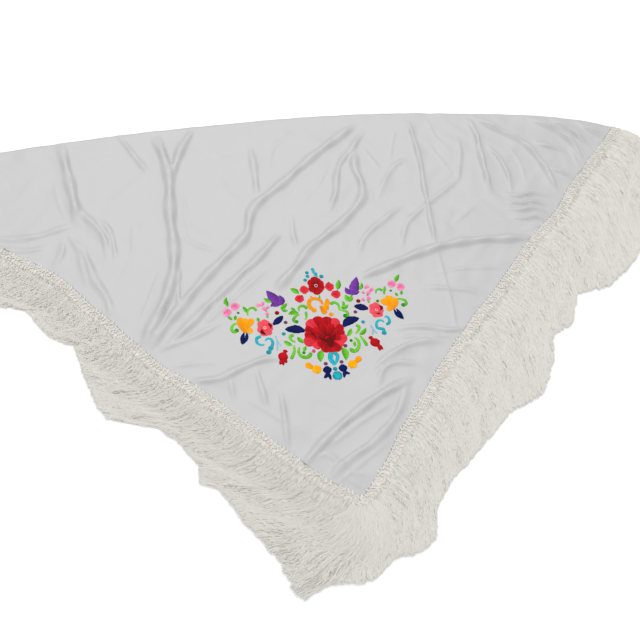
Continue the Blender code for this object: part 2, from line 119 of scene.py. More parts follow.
FOLDS = tuple(Fold(*row) for row in (
    # Left end: a sharp fold that forks into soft ones near the heading.
    (2.5, 9.5, ((-45.2, 45.5), (-44.5, 40), (-43.7, 34), (-43.1, 29), (-42.8, 26.2))),
    (1.8, 5, ((-43.4, 33), (-41.8, 28.5), (-39.6, 25.4), (-38.2, 22.4), (-37.6, 18.2))),
    (1.6, 3.5, ((-39.6, 27.2), (-37.4, 24), (-36.7, 20.4), (-36.6, 17))),
    (2.2, 5.5, ((-42.4, 21.6), (-41.3, 17), (-40.2, 13), (-38.4, 9), (-37.8, 5.6))),
    (1.5, 3.2, ((-44.6, 23.5), (-43, 20), (-42.6, 16.4), (-42, 13))),
    (1.7, 3.6, ((-43.6, 26.4), (-46, 25.4), (-49.8, 24.2), (-54, 23.8), (-58, 24.4))),
    (1.6, 3, ((-62, 22), (-57, 21.8), (-52, 21), (-48.5, 21.6))),
    (1.7, 3.8, ((-45.8, 22.6), (-46.3, 19.6), (-47.6, 17))),
    # The long upright fold, its upper arm and its tails.
    (2.7, 10.5, (
        (-26.3, 46), (-25.3, 41), (-24.7, 36.5), (-25.1, 30.5), (-25.5, 25), (-25.4, 19.5),
        (-26, 14), (-27.6, 8.6), (-30.2, 3.4), (-32.8, -1.4),
    )),
    (2.2, 8.5, ((-19, 47.4), (-21, 44), (-22.8, 40), (-24, 36))),
    (1.5, 4, ((-25.2, 15), (-25.8, 9.5), (-26.3, 3.5))),
    (1.5, 4, ((-33.8, 47.8), (-31.4, 42.8), (-28.6, 37.4))),
    (1.2, 1.8, ((-23.8, 22), (-22, 19.6), (-17.4, 17))),
    # Diagonals from the left heading up to the long edge.
    (2.3, 7.5, (
        (-32, -2), (-28.6, 2.2), (-25, 6.3), (-21.2, 10.6), (-17.4, 14.4), (-14, 17.6),
        (-11.4, 20.4), (-10.4, 23.6), (-9.2, 26.6), (-5.8, 29.6), (-2, 32.6), (1.6, 35.8), (6, 39.4),
        (10.6, 42.8), (16, 46.8),
    )),
    (2.1, 6.5, (
        (-28.6, -1.6), (-24.4, 2.1), (-20.2, 6), (-15.9, 9.9), (-11.6, 13.6), (-8.5, 16.4), (-5.4, 19.8),
    )),
    (1.3, 2.5, ((-22, 1.4), (-17, 5.4), (-12.6, 9), (-9, 12))),
    (1.5, 3, ((-30.8, -2.6), (-24.6, -0.8), (-18.4, 1.8))),
    (1.9, 4, ((-7.4, 42.4), (-7.5, 36), (-7.9, 29.6))),
    (2.3, 7.5, (
        (-7.4, 7.6), (-2.4, 12.6), (0.4, 15.8), (4.4, 18.8), (8, 21.4), (11, 24.2), (13.4, 27),
        (14.2, 30.6), (13.7, 35), (14.6, 39.4),
    )),
    (1.9, 5.5, ((6, 25.2), (7.9, 28.6), (9, 33), (10.7, 36.8), (14, 40.6), (17.2, 44.8))),
    (1.5, 3.2, ((-1.9, 23.8), (-2.4, 19.8), (-2.1, 16))),
    (1.6, 3.6, ((9.8, 14), (11.4, 17), (14.2, 19.6), (17.6, 22), (21, 24.4))),
    (1.6, 3.4, ((18.8, 14.6), (21, 19.8), (24.2, 22.6), (28.2, 25.6), (32.2, 28.2), (35.6, 31))),
    (1.6, 3.2, ((17, 27), (19.6, 31.6), (22.2, 34.8), (25.6, 36.8))),
    # Upright folds right of the middle.
    (1.5, 5.2, (
        (28.4, 46.5), (28.5, 40), (28.2, 35), (27.4, 29), (27, 24.5), (26.5, 19.5), (25.9, 14.5),
    )),
    (1.6, 3.2, ((38.4, 41), (37.4, 36.4), (36.2, 33), (35, 29.8))),
    (1.9, 7.5, ((42.3, 46.6), (42.8, 42), (42.2, 37), (41.8, 32), (41.3, 27))),
    (1.6, 5.5, ((45, 38.6), (46.5, 34.4), (46.9, 30.4), (46.4, 26.8))),
    # Puckers drawn up at the right corner.
    (2, 8.5, ((43.8, 47), (48.4, 43), (52.6, 39.2), (54.6, 35.4), (55.7, 30.8), (56.2, 26))),
    (1.6, 6, ((56.8, 38.6), (61.4, 36.4))),
    (1.6, 6, ((57.4, 31.6), (60.6, 29.2))),
    (1.9, 9.5, ((57, 45.6), (61, 42.6), (64.2, 38.6), (65.2, 34))),
    (1.9, 9.5, ((62.6, 45), (66, 41.4), (68.4, 36.8))),
    (1.7, 8, ((68.6, 43.4), (71.4, 40.4), (73, 38.2))),
    (1.2, 6, ((44.8, 25.4), (47.6, 24.7), (50.4, 25.1), (53.4, 24.3))),
    (1.2, 6.5, ((44.6, 23.5), (47.2, 22.7), (49.8, 23.1), (52.6, 22))),
    (1.2, 6.5, ((44.4, 21.5), (47, 20.9), (49.4, 21.1), (52, 20))),
    (1.2, 6, ((44.6, 19.5), (47, 18.9), (49.2, 19.1), (51.2, 18.2))),
    # Below and beside the embroidery.
    (2.3, 8.5, (
        (9.6, 8.6), (15.4, 10.5), (20.6, 12.2), (27, 13.8), (33.6, 14.5), (40, 14.3), (46, 14),
    )),
    (1.4, 2.6, ((20.6, 4.9), (25, 4), (30, 3), (33.4, 1.4))),
    (1.7, 4, ((13.6, -3.2), (19.4, -3.7), (23.6, -4.9), (28, -4.8))),
    (1.8, 5, ((7.2, -11.4), (11.6, -8.6), (16.4, -7), (21.4, -7.2))),
    (1.6, 4.5, ((7.4, -14.4), (8.6, -11.8), (11.4, -10.4), (15.4, -11))),
    (2.1, 7.5, (
        (-8.8, -27.2), (-4.6, -23.6), (0, -20.4), (4, -18), (8.4, -15.8), (13.4, -14),
    )),
    (2.1, 6, (
        (-4.4, -30), (-0.2, -27.2), (4.6, -24.8), (8.8, -21.2), (11, -18.4), (12.6, -15.4),
    )),
    (1.9, 5.5, ((-26.6, -9.2), (-21, -9.4), (-16.4, -7.8), (-12.6, -6.7), (-9.4, -6.4))),
    (1.4, 3.6, ((-13.9, -8.6), (-13.5, -13), (-13.1, -16.4))),
    (1.3, 2.4, ((-18.8, -9.6), (-18.5, -14))),
    (1.5, 4, ((-10.2, -13), (-10.3, -19), (-10.7, -24))),
))

# Small wrinkles and pressed creases, too fine for the solids. A negative height is a pressed-in line.
WRINKLES = tuple(Fold(*row) for row in (
    (1, 1.4, ((-46.9, 36), (-46.2, 31), (-45, 27.5))),
    (1, 1.2, ((-14.6, 36), (-13, 31), (-10.4, 27))),
    (1, 1.2, ((-22.4, 33), (-22.6, 26), (-23.2, 20))),
    (1.1, 1.5, ((-3.8, 13), (2.6, 17.4), (8.2, 20.2))),
    (1, 1.3, ((0.5, 27), (4.8, 31.5), (8.2, 36.5))),
    (1.2, 2, ((16.6, 40.2), (18.6, 35.2))),
    (1, 1.3, ((21.6, 37), (23.4, 41.5), (25, 45.5))),
    (1, -0.6, ((19.4, 26.2), (30, 25.6), (40.4, 25.2))),
    (1.2, 1.8, ((25.8, 13), (25.6, 7), (25.3, 0), (24.9, -5))),
    (1, 1.4, ((31, 41), (33, 36), (34.2, 32))),
    (1.2, 1.8, ((37.2, 23.2), (34, 21.2), (31.6, 19.6))),
    (1.1, 2, ((63.8, 36.5), (63.8, 32))),
    (1, 1.6, ((49.8, 37.4), (50.8, 33), (50.2, 28.6))),
    (1.2, 2, ((46.4, 16.2), (49.6, 16.6))),
    (1.2, 1.8, ((24, 7.8), (31, 8.2), (38.4, 7.6))),
    (1.2, 2, ((13, -5.4), (18.8, -5.6), (24.6, -6.6))),
    (1.1, 1.8, ((-29.4, -6.3), (-25, -6.1), (-21.3, -6.4))),
    (1, 1.5, ((-16.2, -14), (-12.2, -17.6), (-8.8, -20))),
    (1.2, 2.2, ((-3.6, -24.6), (2, -21.4), (8.4, -18.4))),
    (1, 1.5, ((-2.4, -30.4), (2.6, -27.6), (6.8, -25))),
    (1, 1.4, ((-3.6, -31.2), (-1.2, -29.8), (1.6, -30.2))),
    (1.1, 2.4, ((-6.4, -26.6), (-4.4, -26), (-2.2, -28.2), (-0.6, -30.6))),
    (1, 2, ((-2.6, -30), (-0.6, -31.6), (0.8, -32.6))),
    (1, 1.3, ((-33, 4), (-30.6, 9), (-28.4, 14.6))),
    (1, 1.2, ((-36, 12), (-33.4, 18), (-32.6, 25))),
    (1.2, 1.6, ((33, 46.4), (33.6, 42), (35.8, 38.4))),
    (1.2, 1.6, ((2, 45.8), (-2.6, 42), (-4.6, 36))),
))


class Swell(NamedTuple):
    """A broad, low wave of the cloth: height in millimetres, length, direction in degrees and phase."""

    height: float
    length: float
    direction: float
    phase: float


SWELLS = tuple(Swell(*row) for row in (
    (0.5, 23, 28, 0.4), (0.45, 14, 104, 1.9), (0.4, 9.7, 152, 4),
    (0.36, 7.3, 62, 2.6), (0.3, 5.6, 122, 5.2), (0.24, 4.4, 14, 0.9),
))


def smooth(share: float | np.ndarray) -> float | np.ndarray:
    """Eases shares from 0 to 1, held between the two and level at both ends."""
    held = np.clip(share, 0.0, 1.0)
    return held * held * (3 - 2 * held)


def alternate(count: int) -> np.ndarray:
    """A row of -1 and 1 by turns."""
    return np.where(np.arange(count) % 2, 1.0, -1.0)


def direction(angle: float) -> Vector:
    """The unit vector in plan at an angle in radians."""
    return Vector((math.cos(angle), math.sin(angle)))


def looked_up(rows: Table, position: float) -> float:
    """Smooth value of a two-column table, level past either end.

    Args:
        rows: Rows of position and value, in order of position.
        position: Where to read the table.

    Returns:
        The value there.
    """
    for (low, low_value), (high, high_value) in zip(rows, rows[1:]):
        if position <= high:
            return low_value + (high_value - low_value) * smooth((position - low) / (high - low))
    return rows[-1][1]


def curve_through(points: Sequence[Plan], spacing: float) -> list[Vector]:
    """Points on the Catmull-Rom curve through the given points.

    Args:
        points: Two or more points in plan.
        spacing: Rough distance between the points found.

    Returns:
        The curve's points, with the given ones among them.
    """
    knots = [Vector(p) for p in points]
    padded = [2 * knots[0] - knots[1], *knots, 2 * knots[-1] - knots[-2]]
    found = [knots[0]]
    for a, b, c, d in zip(padded, padded[1:], padded[2:], padded[3:]):
        count = max(1, round((c - b).length / spacing))
        for step in range(1, count + 1):
            t = step / count
            bend = (2 * a - 5 * b + 4 * c - d) * t * t + (3 * b - a - 3 * c + d) * t**3
            found.append(0.5 * (2 * b + (c - a) * t + bend))
    return found


def near_line(line: np.ndarray, points: np.ndarray) -> tuple[np.ndarray, np.ndarray]:
    """How each point lies against a line in plan.

    Args:
        line: The line's points, one row each.
        points: The points to place, one row each.

    Returns:
        The distance of each point, positive on the line's left, and the length along the line.
    """
    away = np.full(len(points), np.inf)
    along = np.zeros(len(points))
    passed = 0.0
    for start, end in zip(line, line[1:]):
        edge = end - start
        length = float(np.hypot(*edge))
        share = np.clip((points - start) @ edge / length**2, 0.0, 1.0)
        gap = points - start - share[:, None] * edge
        distance = np.hypot(gap[:, 0], gap[:, 1])
        closer = distance < np.abs(away)
        side = np.where(edge[0] * gap[:, 1] - edge[1] * gap[:, 0] < 0, -1.0, 1.0)
        away[closer] = (side * distance)[closer]
        along[closer] = (passed + share * length)[closer]
        passed += length
    return away, along


def inside(outline: Sequence[Plan], point: Vector) -> bool:
    """Tells whether a point in plan is inside an outline.

    Args:
        outline: The outline's points, once round.
        point: The point.

    Returns:
        True where the point is inside.
    """
    found = False
    for (ax, ay), (bx, by) in zip(outline, (*outline[1:], outline[0])):
        if (ay > point.y) != (by > point.y) and point.x < (bx - ax) * (point.y - ay) / (by - ay) + ax:
            found = not found
    return found


def new_piece(
    name: str,
    points: Iterable[Sequence[float]],
    faces: Iterable[Sequence[int]] = (),
    finish: Material | None = None,
    edges: Iterable[Sequence[int]] = (),
) -> Object:
    """Makes a smooth-shaded object.

    Args:
        name: The piece's name.
        points: Its points, in metres.
        faces: Its faces, as indices of points.
        finish: Its material, unless a node tree gives it one.
        edges: Its loose edges, as indices of points.

    Returns:
        The object, which stands at the origin.
    """
    data = bpy.data.meshes.new(name)
    data.from_pydata(list(points), list(edges), list(faces))
    if finish:
        data.materials.append(finish)
    data.shade_smooth()
    piece = bpy.data.objects.new(name, data)
    bpy.context.scene.collection.objects.link(piece)
    return piece


def find_socket(sockets: Iterable[NodeSocket], key: str | int) -> NodeSocket:
    """Finds a node's live socket.

    Args:
        sockets: The node's inputs or outputs.
        key: The socket's name, or its place among the live ones.

    Returns:
        The socket.
    """
    live = [socket for socket in sockets if socket.enabled]
    if isinstance(key, int):
        return live[key]
    return next(socket for socket in live if socket.name == key)


class Expr:
    """A node's output, from which Python's operators make Math nodes."""

    def __init__(self, tree: "Tree", socket: NodeSocket) -> None:
        """Wraps one output socket of a node in the given tree."""
        self.tree = tree
        self.socket = socket

    def output(self, name: str) -> "Expr":
        """Another output of the same node, by its name."""
        return Expr(self.tree, find_socket(self.socket.node.outputs, name))

    def math(self, operation: str, *values: "Expr | float") -> "Expr":
        """Makes a Math node.

        Args:
            operation: The node's operation.
            values: Its values, in order.

        Returns:
            The node's output.
        """
        return self.tree.node("ShaderNodeMath", {"operation": operation}, dict(enumerate(values)))

    def __add__(self, other: "Expr | float") -> "Expr":
        """The sum."""
        return self.math("ADD", self, other)

    __radd__ = __add__

    def __sub__(self, other: "Expr | float") -> "Expr":
        """The difference."""
        return self.math("SUBTRACT", self, other)

    def __rsub__(self, other: "Expr | float") -> "Expr":
        """The difference from a number."""
        return self.math("SUBTRACT", other, self)

    def __mul__(self, other: "Expr | float") -> "Expr":
        """The product."""
        return self.math("MULTIPLY", self, other)

    __rmul__ = __mul__

    def __truediv__(self, other: "Expr | float") -> "Expr":
        """The quotient."""
        return self.math("DIVIDE", self, other)

    def __rtruediv__(self, other: "Expr | float") -> "Expr":
        """The quotient of a number."""
        return self.math("DIVIDE", other, self)

    def __pow__(self, other: "Expr | float") -> "Expr":
        """The power."""
        return self.math("POWER", self, other)

    def __rpow__(self, other: "Expr | float") -> "Expr":
        """The power of a number."""
        return self.math("POWER", other, self)

    def sine(self) -> "Expr":
        """The sine of an angle in radians."""
        return self.math("SINE", self)

    def floor(self) -> "Expr":
        """The whole number below."""
        return self.math("FLOOR", self)

    def held(self, low: "Expr | float", high: "Expr | float") -> "Expr":
        """The value held between two others."""
        return self.math("MINIMUM", self.math("MAXIMUM", self, low), high)

    def smooth(self) -> "Expr":
        """Eases a share from 0 to 1, level at both ends."""
        share = self.held(0.0, 1.0)
        return share * share * (3.0 - 2.0 * share)


class Tree:
    """A node tree that is built by naming nodes, their settings and their values."""

    def __init__(self, tree: NodeTree) -> None:
        """Wraps a node tree."""
        self.tree = tree

    def node(
        self, kind: str, settings: dict | None = None, inputs: dict | None = None, output: str | int = 0
    ) -> Expr:
        """Adds a node.

        Args:
            kind: The node's type.
            settings: Its properties, which are set first.
            inputs: A value, a link or a list of links for each named or numbered input.
            output: The output to give back.

        Returns:
            That output.
        """
        made = self.tree.nodes.new(kind)
        for name, value in (settings or {}).items():
            setattr(made, name, value)
        for key, value in (inputs or {}).items():
            socket = find_socket(made.inputs, key)
            for link in value if isinstance(value, list) else [value]:
                if isinstance(link, Expr):
                    self.tree.links.new(link.socket, socket)
                else:
                    socket.default_value = link
        return Expr(self, find_socket(made.outputs, output))

    def vector(self, operation: str, *values: object) -> Expr:
        """Makes a Vector Math node of the given operation and vectors."""
        return self.node("ShaderNodeVectorMath", {"operation": operation}, dict(enumerate(values)))

    def from_parts(self, **parts: Expr) -> Expr:
        """Makes a vector of its X, Y and Z parts, where those left out are 0."""
        return self.node("ShaderNodeCombineXYZ", None, parts)

    def mix(self, factor: Expr | float, first: object, second: object, kind: str = "RGBA") -> Expr:
        """Makes a Mix node.

        Args:
            factor: The second value's share.
            first: The first colour, vector or number.
            second: The second one.
            kind: The Mix node's data type.

        Returns:
            The mixed value.
        """
        return self.node("ShaderNodeMix", {"data_type": kind}, {"Factor": factor, "A": first, "B": second})


class Surface(Tree):
    """A new material's tree, with one Principled shader."""

    def __init__(self, name: str, constants: dict[str, object]) -> None:
        """Makes the material and sets what is the same all over it.

        Args:
            name: The material's name.
            constants: Values of the shader's own sockets.
        """
        self.material = bpy.data.materials.new(name)
        self.material.use_nodes = True
        super().__init__(self.material.node_tree)
        self.shader = self.tree.nodes["Principled BSDF"]
        for key, value in constants.items():
            self.shader.inputs[key].default_value = value
        self.places = self.node("ShaderNodeTexCoord", output="Object")

    def noise(self, scale: float, detail: float = 2.0, vector: Expr | None = None) -> Expr:
        """Noise of about 0 to 1.

        Args:
            scale: Features in a metre, or in a unit of the vector.
            detail: Octaves of finer noise.
            vector: Where it is read, and Object coordinates if left out.

        Returns:
            The noise's value.
        """
        return self.node(
            "ShaderNodeTexNoise", None, {"Vector": vector or self.places, "Scale": scale, "Detail": detail}
        )

    def attribute(self, name: str, output: str = "Fac") -> Expr:
        """Reads one of the piece's own attributes, as the given output of the node."""
        return self.node("ShaderNodeAttribute", {"attribute_name": name}, None, output)

    def finish(self, colour: Expr, roughness: Expr, height: Expr) -> Material:
        """Links what varies over the surface.

        Args:
            colour: Base colour.
            roughness: Roughness.
            height: The relief, in metres.

        Returns:
            The finished material.
        """
        bump = self.node("ShaderNodeBump", None, {"Strength": 1.0, "Distance": 1.0, "Height": height})
        for key, value in (("Base Color", colour), ("Roughness", roughness), ("Normal", bump)):
            self.tree.links.new(value.socket, self.shader.inputs[key])
        return self.material


class GeometryTree(Tree):
    """A Geometry Nodes group with named inputs."""

    def __init__(self, name: str) -> None:
        """Makes an empty group that takes and gives geometry.

        Args:
            name: The group's name.
        """
        super().__init__(bpy.data.node_groups.new(name, "GeometryNodeTree"))
        self.tree.interface.new_socket("Geometry", in_out="OUTPUT", socket_type="NodeSocketGeometry")
        self.start = self.tree.nodes.new("NodeGroupInput")
        self.end = self.tree.nodes.new("NodeGroupOutput")
        self.identifiers: dict[str, str] = {}
        self.values: dict[str, object] = {}
        self.geometry = self.given("Geometry", None)
        self.seed = self.given("Seed", 7)
        self.finish_input = self.given("Finish", None, "NodeSocketMaterial")

    def given(self, name: str, value: float | int | None, kind: str = "") -> Expr:
        """Adds a named input.

        Args:
            name: The input's name.
            value: Its value, unless apply() gives another.
            kind: The socket's type, which otherwise follows the value.

        Returns:
            The input, for use in the tree.
        """
        kinds = {int: "NodeSocketInt", float: "NodeSocketFloat", type(None): "NodeSocketGeometry"}
        socket = self.tree.interface.new_socket(
            name, in_out="INPUT", socket_type=kind or kinds[type(value)]
        )
        self.identifiers[name] = socket.identifier
        self.values[name] = value
        return Expr(self, self.start.outputs[name])

    def random(self, number: Expr, draw: int, low: float = 0.0, high: float = 1.0) -> Expr:
        """A fixed random value for each number.

        Args:
            number: What the value belongs to.
            draw: Which draw it is, so that draws differ.
            low: Least value.
            high: Greatest value.

        Returns:
            The value.
        """
        return self.node(
            "FunctionNodeRandomValue",
            {"data_type": "FLOAT"},
            {"Min": low, "Max": high, "ID": number, "Seed": self.seed + float(draw)},
        )

    def move(self, geometry: Expr, **places: Expr) -> Expr:
        """Puts a geometry's points at a Position, or shifts them by an Offset."""
        return self.node("GeometryNodeSetPosition", None, {"Geometry": geometry, **places})

    def store(self, geometry: Expr, name: str, value: Expr) -> Expr:
        """Stores a number at each point of a geometry, under the name that its finish reads."""
        inputs = {"Geometry": geometry, "Name": name, "Value": value}
        return self.node("GeometryNodeStoreNamedAttribute", {"data_type": "FLOAT"}, inputs)

    def swept(self, curve: Expr, profile: Expr) -> Expr:
        """A closed bar of the given profile along a curve."""
        inputs = {"Curve": curve, "Profile Curve": profile, "Fill Caps": True}
        return self.node("GeometryNodeCurveToMesh", None, inputs)

    def tube(self, curve: Expr, radius: Expr, sides: int) -> Expr:
        """A closed tube of the given radius and number of sides along a curve."""
        ring = self.node("GeometryNodeCurvePrimitiveCircle", None, {"Resolution": sides, "Radius": radius})
        return self.swept(curve, ring)

    def close(self, geometry: Expr) -> None:
        """Ends the tree in real, smooth geometry that has its finish.

        Args:
            geometry: What the tree has made.
        """
        real = self.node("GeometryNodeRealizeInstances", None, {"Geometry": geometry})
        smoothed = self.node("GeometryNodeSetShadeSmooth", None, {"Geometry": real})
        dressed = self.node(
            "GeometryNodeSetMaterial", None, {"Geometry": smoothed, "Material": self.finish_input}
        )
        self.tree.links.new(dressed.socket, self.end.inputs["Geometry"])

    def apply(self, piece: Object, values: dict[str, object]) -> None:
        """Turns a piece into what the tree makes of it, as a plain mesh.

        Args:
            piece: The object, whose mesh the tree starts from.
            values: Values of named inputs that differ from the given ones.
        """
        modifier = piece.modifiers.new(self.tree.name, "NODES")
        modifier.node_group = self.tree
        for name, value in (self.values | values).items():
            if value is not None:
                modifier[self.identifiers[name]] = value
        shown = piece.evaluated_get(bpy.context.evaluated_depsgraph_get())
        mesh = bpy.data.meshes.new_from_object(shown)
        piece.modifiers.remove(modifier)
        piece.data = mesh


@dataclass(frozen=True)
class CrepeFinish:
    """White crepe with a soft satin sheen, a fine pebbled grain and a stitched hem."""

    light: Colour = (0.497, 0.497, 0.499, 1.0)
    dull: Colour = (0.460, 0.460, 0.462, 1.0)
    roughness: float = 0.36
    grain_scale: float = 900.0
    cloud_scale: float = 9.0
    ripple_scale: float = 70.0
    cloud_share: float = 0.7
    cloud_uneven: float = 0.1
    grain_uneven: float = 0.08
    grain_relief: float = 0.00006
    ripple_relief: float = 0.00022
    hem_line: float = 0.0105
    hem_sharpness: float = 12.0
    hem_relief: float = 0.0003

    def material(self) -> Material:
        """Builds the material, whose hem line follows the cloth's own weave.

        Returns:
            The crepe.
        """
        surface = Surface(
            "white crepe", {"Sheen Weight": 0.10, "Sheen Roughness": 0.4, "Specular IOR Level": 0.46}
        )
        weave = surface.node("ShaderNodeUVMap", {"uv_map": "weave"})
        grain = surface.noise(self.grain_scale, 3.0)
        cloud = surface.noise(self.cloud_scale, 3.0)
        ripple = surface.noise(self.ripple_scale)
        split = surface.node("ShaderNodeSeparateXYZ", None, {"Vector": weave})
        from_edge = 1.0 - (split + split.output("Y"))
        stitch = (from_edge * (math.pi / self.hem_line)).sine().held(0.0, 1.0) ** self.hem_sharpness
        near_edge = 1.0 - (from_edge / self.hem_line).held(0.0, 1.0)
        tone = cloud * self.cloud_share + grain * (1 - self.cloud_share)
        colour = surface.mix(tone, self.dull, self.light)
        roughness = self.roughness + (cloud - 0.5) * self.cloud_uneven + (grain - 0.5) * self.grain_uneven
        height = grain * self.grain_relief + ripple * self.ripple_relief
        return surface.finish(colour, roughness, height - stitch * near_edge * self.hem_relief)


@dataclass(frozen=True)
class YarnFinish:
    """Off-white rayon yarn, whose strands differ a little in tone. On the heading the stored tone also
    holds painted shade, darker the lower the yarn lies.
    """

    name: str
    light: Colour = (0.764, 0.743, 0.702, 1.0)
    shade: Colour = (0.690, 0.668, 0.622, 1.0)
    roughness: float = 0.55
    uneven: float = 0.12
    cloud_scale: float = 24.0
    plies_scale: float = 1600.0
    tone_share: float = 0.6
    cloud_share: float = 0.55
    plies_relief: float = 0.00008
    twist: float = 0.0011
    twist_relief: float = 0.00003

    def material(self) -> Material:
        """Builds the material, from the tone and the run that are stored on the yarn.

        Returns:
            The yarn.
        """
        surface = Surface(
            self.name, {"Sheen Weight": 0.25, "Sheen Roughness": 0.5, "Specular IOR Level": 0.2}
        )
        tone = surface.attribute("tone")
        cloud = surface.noise(self.cloud_scale, 3.0)
        plies = surface.noise(self.plies_scale, 1.0)
        mixed = (tone * self.tone_share + cloud * self.cloud_share).held(0.0, 1.0)
        colour = surface.mix(mixed, self.shade, self.light)
        roughness = self.roughness + (plies - 0.5) * self.uneven
        wound = (surface.attribute("run") * (2 * math.pi / self.twist)).sine()
        return surface.finish(colour, roughness, plies * self.plies_relief + wound * self.twist_relief)


@dataclass(frozen=True)
class PackedFinish:
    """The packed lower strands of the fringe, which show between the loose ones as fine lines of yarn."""

    light: Colour = (0.766, 0.745, 0.704, 1.0)
    shade: Colour = (0.670, 0.648, 0.600, 1.0)
    roughness: float = 0.6
    uneven: float = 0.1
    line_width: float = 0.0014
    line_length: float = 0.022
    relief: float = 0.0005
    contrast: float = 1.6
    darkest: float = 0.3

    def material(self) -> Material:
        """Builds the material, whose lines follow the way that the strands lie.

        Returns:
            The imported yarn.
        """
        surface = Surface("packed yarn", {"Sheen Weight": 0.35, "Specular IOR Level": 0.2})
        net = surface.attribute("net", "Vector")
        drawn = surface.vector("DIVIDE", net, (self.line_width, self.line_length, 1.0))
        lines = surface.noise(1.0, 3.0, drawn)
        tone = (lines * self.contrast - self.darkest).held(0.0, 1.0)
        colour = surface.mix(tone, self.shade, self.light)
        roughness = self.roughness + (lines - 0.5) * self.uneven
        return surface.finish(colour, roughness, lines * self.relief)


@dataclass(frozen=True)
class ThreadFinish:
    """Glossy rayon embroidery thread, whose colour is in the stitches themselves."""

    roughness: float = 0.46
    uneven: float = 0.2
    fine_scale: float = 2200.0
    patch_scale: float = 160.0
    least_light: float = 0.35
    patch_share: float = 0.6
    fine_share: float = 0.3
    shadow: float = 0.66
    relief: float = 0.00006

    def material(self) -> Material:
        """Builds the material, from the colour that is stored on the stitches.

        Returns:
            The thread.
        """
        surface = Surface("embroidery thread", {"Specular IOR Level": 0.07})
        stitched = surface.attribute("thread", "Color")
        fine = surface.noise(self.fine_scale, 1.0)
        patch = surface.noise(self.patch_scale)
        darker = surface.vector("MULTIPLY", stitched, (self.shadow, self.shadow, self.shadow))
        tone = self.least_light + patch * self.patch_share + fine * self.fine_share
        colour = surface.mix(tone.held(0.0, 1.0), darker, stitched)
        roughness = self.roughness + (fine - 0.5) * self.uneven
        return surface.finish(colour, roughness, fine * self.relief)


@dataclass(frozen=True)
class FloorFinish:
    """A plain pale studio floor."""

    colour: Colour = (0.93, 0.93, 0.93, 1.0)

    def material(self) -> Material:
        """Builds the material, which is the same all over."""
        constants = {"Base Color": self.colour, "Roughness": 0.9, "Specular IOR Level": 0.1}
        return Surface("studio floor", constants).material


# The heading yarn's darker colour is reached at its low parts as painted shade, mixed with a random tone.
HEADING_YARN = YarnFinish("heading yarn", shade=(0.590, 0.568, 0.520, 1.0))
FRINGE_YARN = YarnFinish("fringe yarn")


class Station(NamedTuple):
    """A place on the cloth's edge: where it is, the way out in radians and the distance from the point."""

    edge: Vector
    angle: float
    along: float

    def out(self, distance: float) -> Vector:
        """The place at a distance outwards from the edge."""
        return self.edge + distance * direction(self.angle)


@dataclass(frozen=True)
class Outline:
    """The edges of the cloth in plan, in centimetres."""

    point_below_origin: float = 34.5
    leg_length: float = 108.2
    point_rounding: float = 1.2
    heading_width: float = 3.2
    corner_blend: float = 15.0
    corner_turn: float = 0.75

    def leg(self, side: Side, along: float) -> Vector:
        """A short edge's place at a distance from the point.

        Args:
            side: Which short edge.
            along: Distance from the point.

        Returns:
            The place in plan.
        """
        slope = math.sqrt(0.5)
        out = looked_up(WANDER[side], along)
        return Vector((side.turn * slope * (along + out), slope * (along - out) - self.point_below_origin))

    def long_edge(self) -> list[Plan]:
        """The long edge's own points, from corner to corner."""
        ends = [tuple(self.leg(side, self.leg_length)) for side in Side]
        return [ends[0], *LONG_EDGE, ends[1]]

    def angle(self, side: Side, along: float) -> float:
        """The way out of the cloth: square to the edge, but turned towards the long edge at the corner.

        Args:
            side: Which short edge.
            along: Distance from the point.

        Returns:
            The direction, in radians.
        """
        square = -math.pi / 2 + side.turn * math.pi / 4
        line = self.long_edge()[:: int(side.turn)]
        end = Vector(line[-1]) - Vector(line[-2])
        share = max(0.0, 1 - (self.leg_length - along) / self.corner_blend)
        return square + (math.atan2(end.y, end.x) - square) * self.corner_turn * share**2

    def point_arc(self, angle: float) -> Vector:
        """The rounded point's edge, by the direction that it faces."""
        middle = Vector((0.0, self.point_rounding * math.sqrt(2) - self.point_below_origin))
        return middle + self.point_rounding * direction(angle)

    def stations(self, side: Side, pitch: float, closer: float = 1.0) -> list[Station]:
        """Places along a heading, from the point's middle to the corner.

        Args:
            side: Which short edge.
            pitch: Rough distance between them on the heading's outer edge.
            closer: How many times closer they are round the point.

        Returns:
            The places in order.
        """
        quarter = math.pi / 4
        turns = round((self.point_rounding + self.heading_width) * quarter / pitch * closer)
        found = []
        for step in range(turns):
            angle = -math.pi / 2 + side.turn * quarter * step / turns
            found.append(Station(self.point_arc(angle), angle, 0.0))
        runs = round((self.leg_length - self.point_rounding) / pitch)
        for step in range(runs + 1):
            along = self.point_rounding + (self.leg_length - self.point_rounding) * step / runs
            found.append(Station(self.leg(side, along), self.angle(side, along), along))
        return found


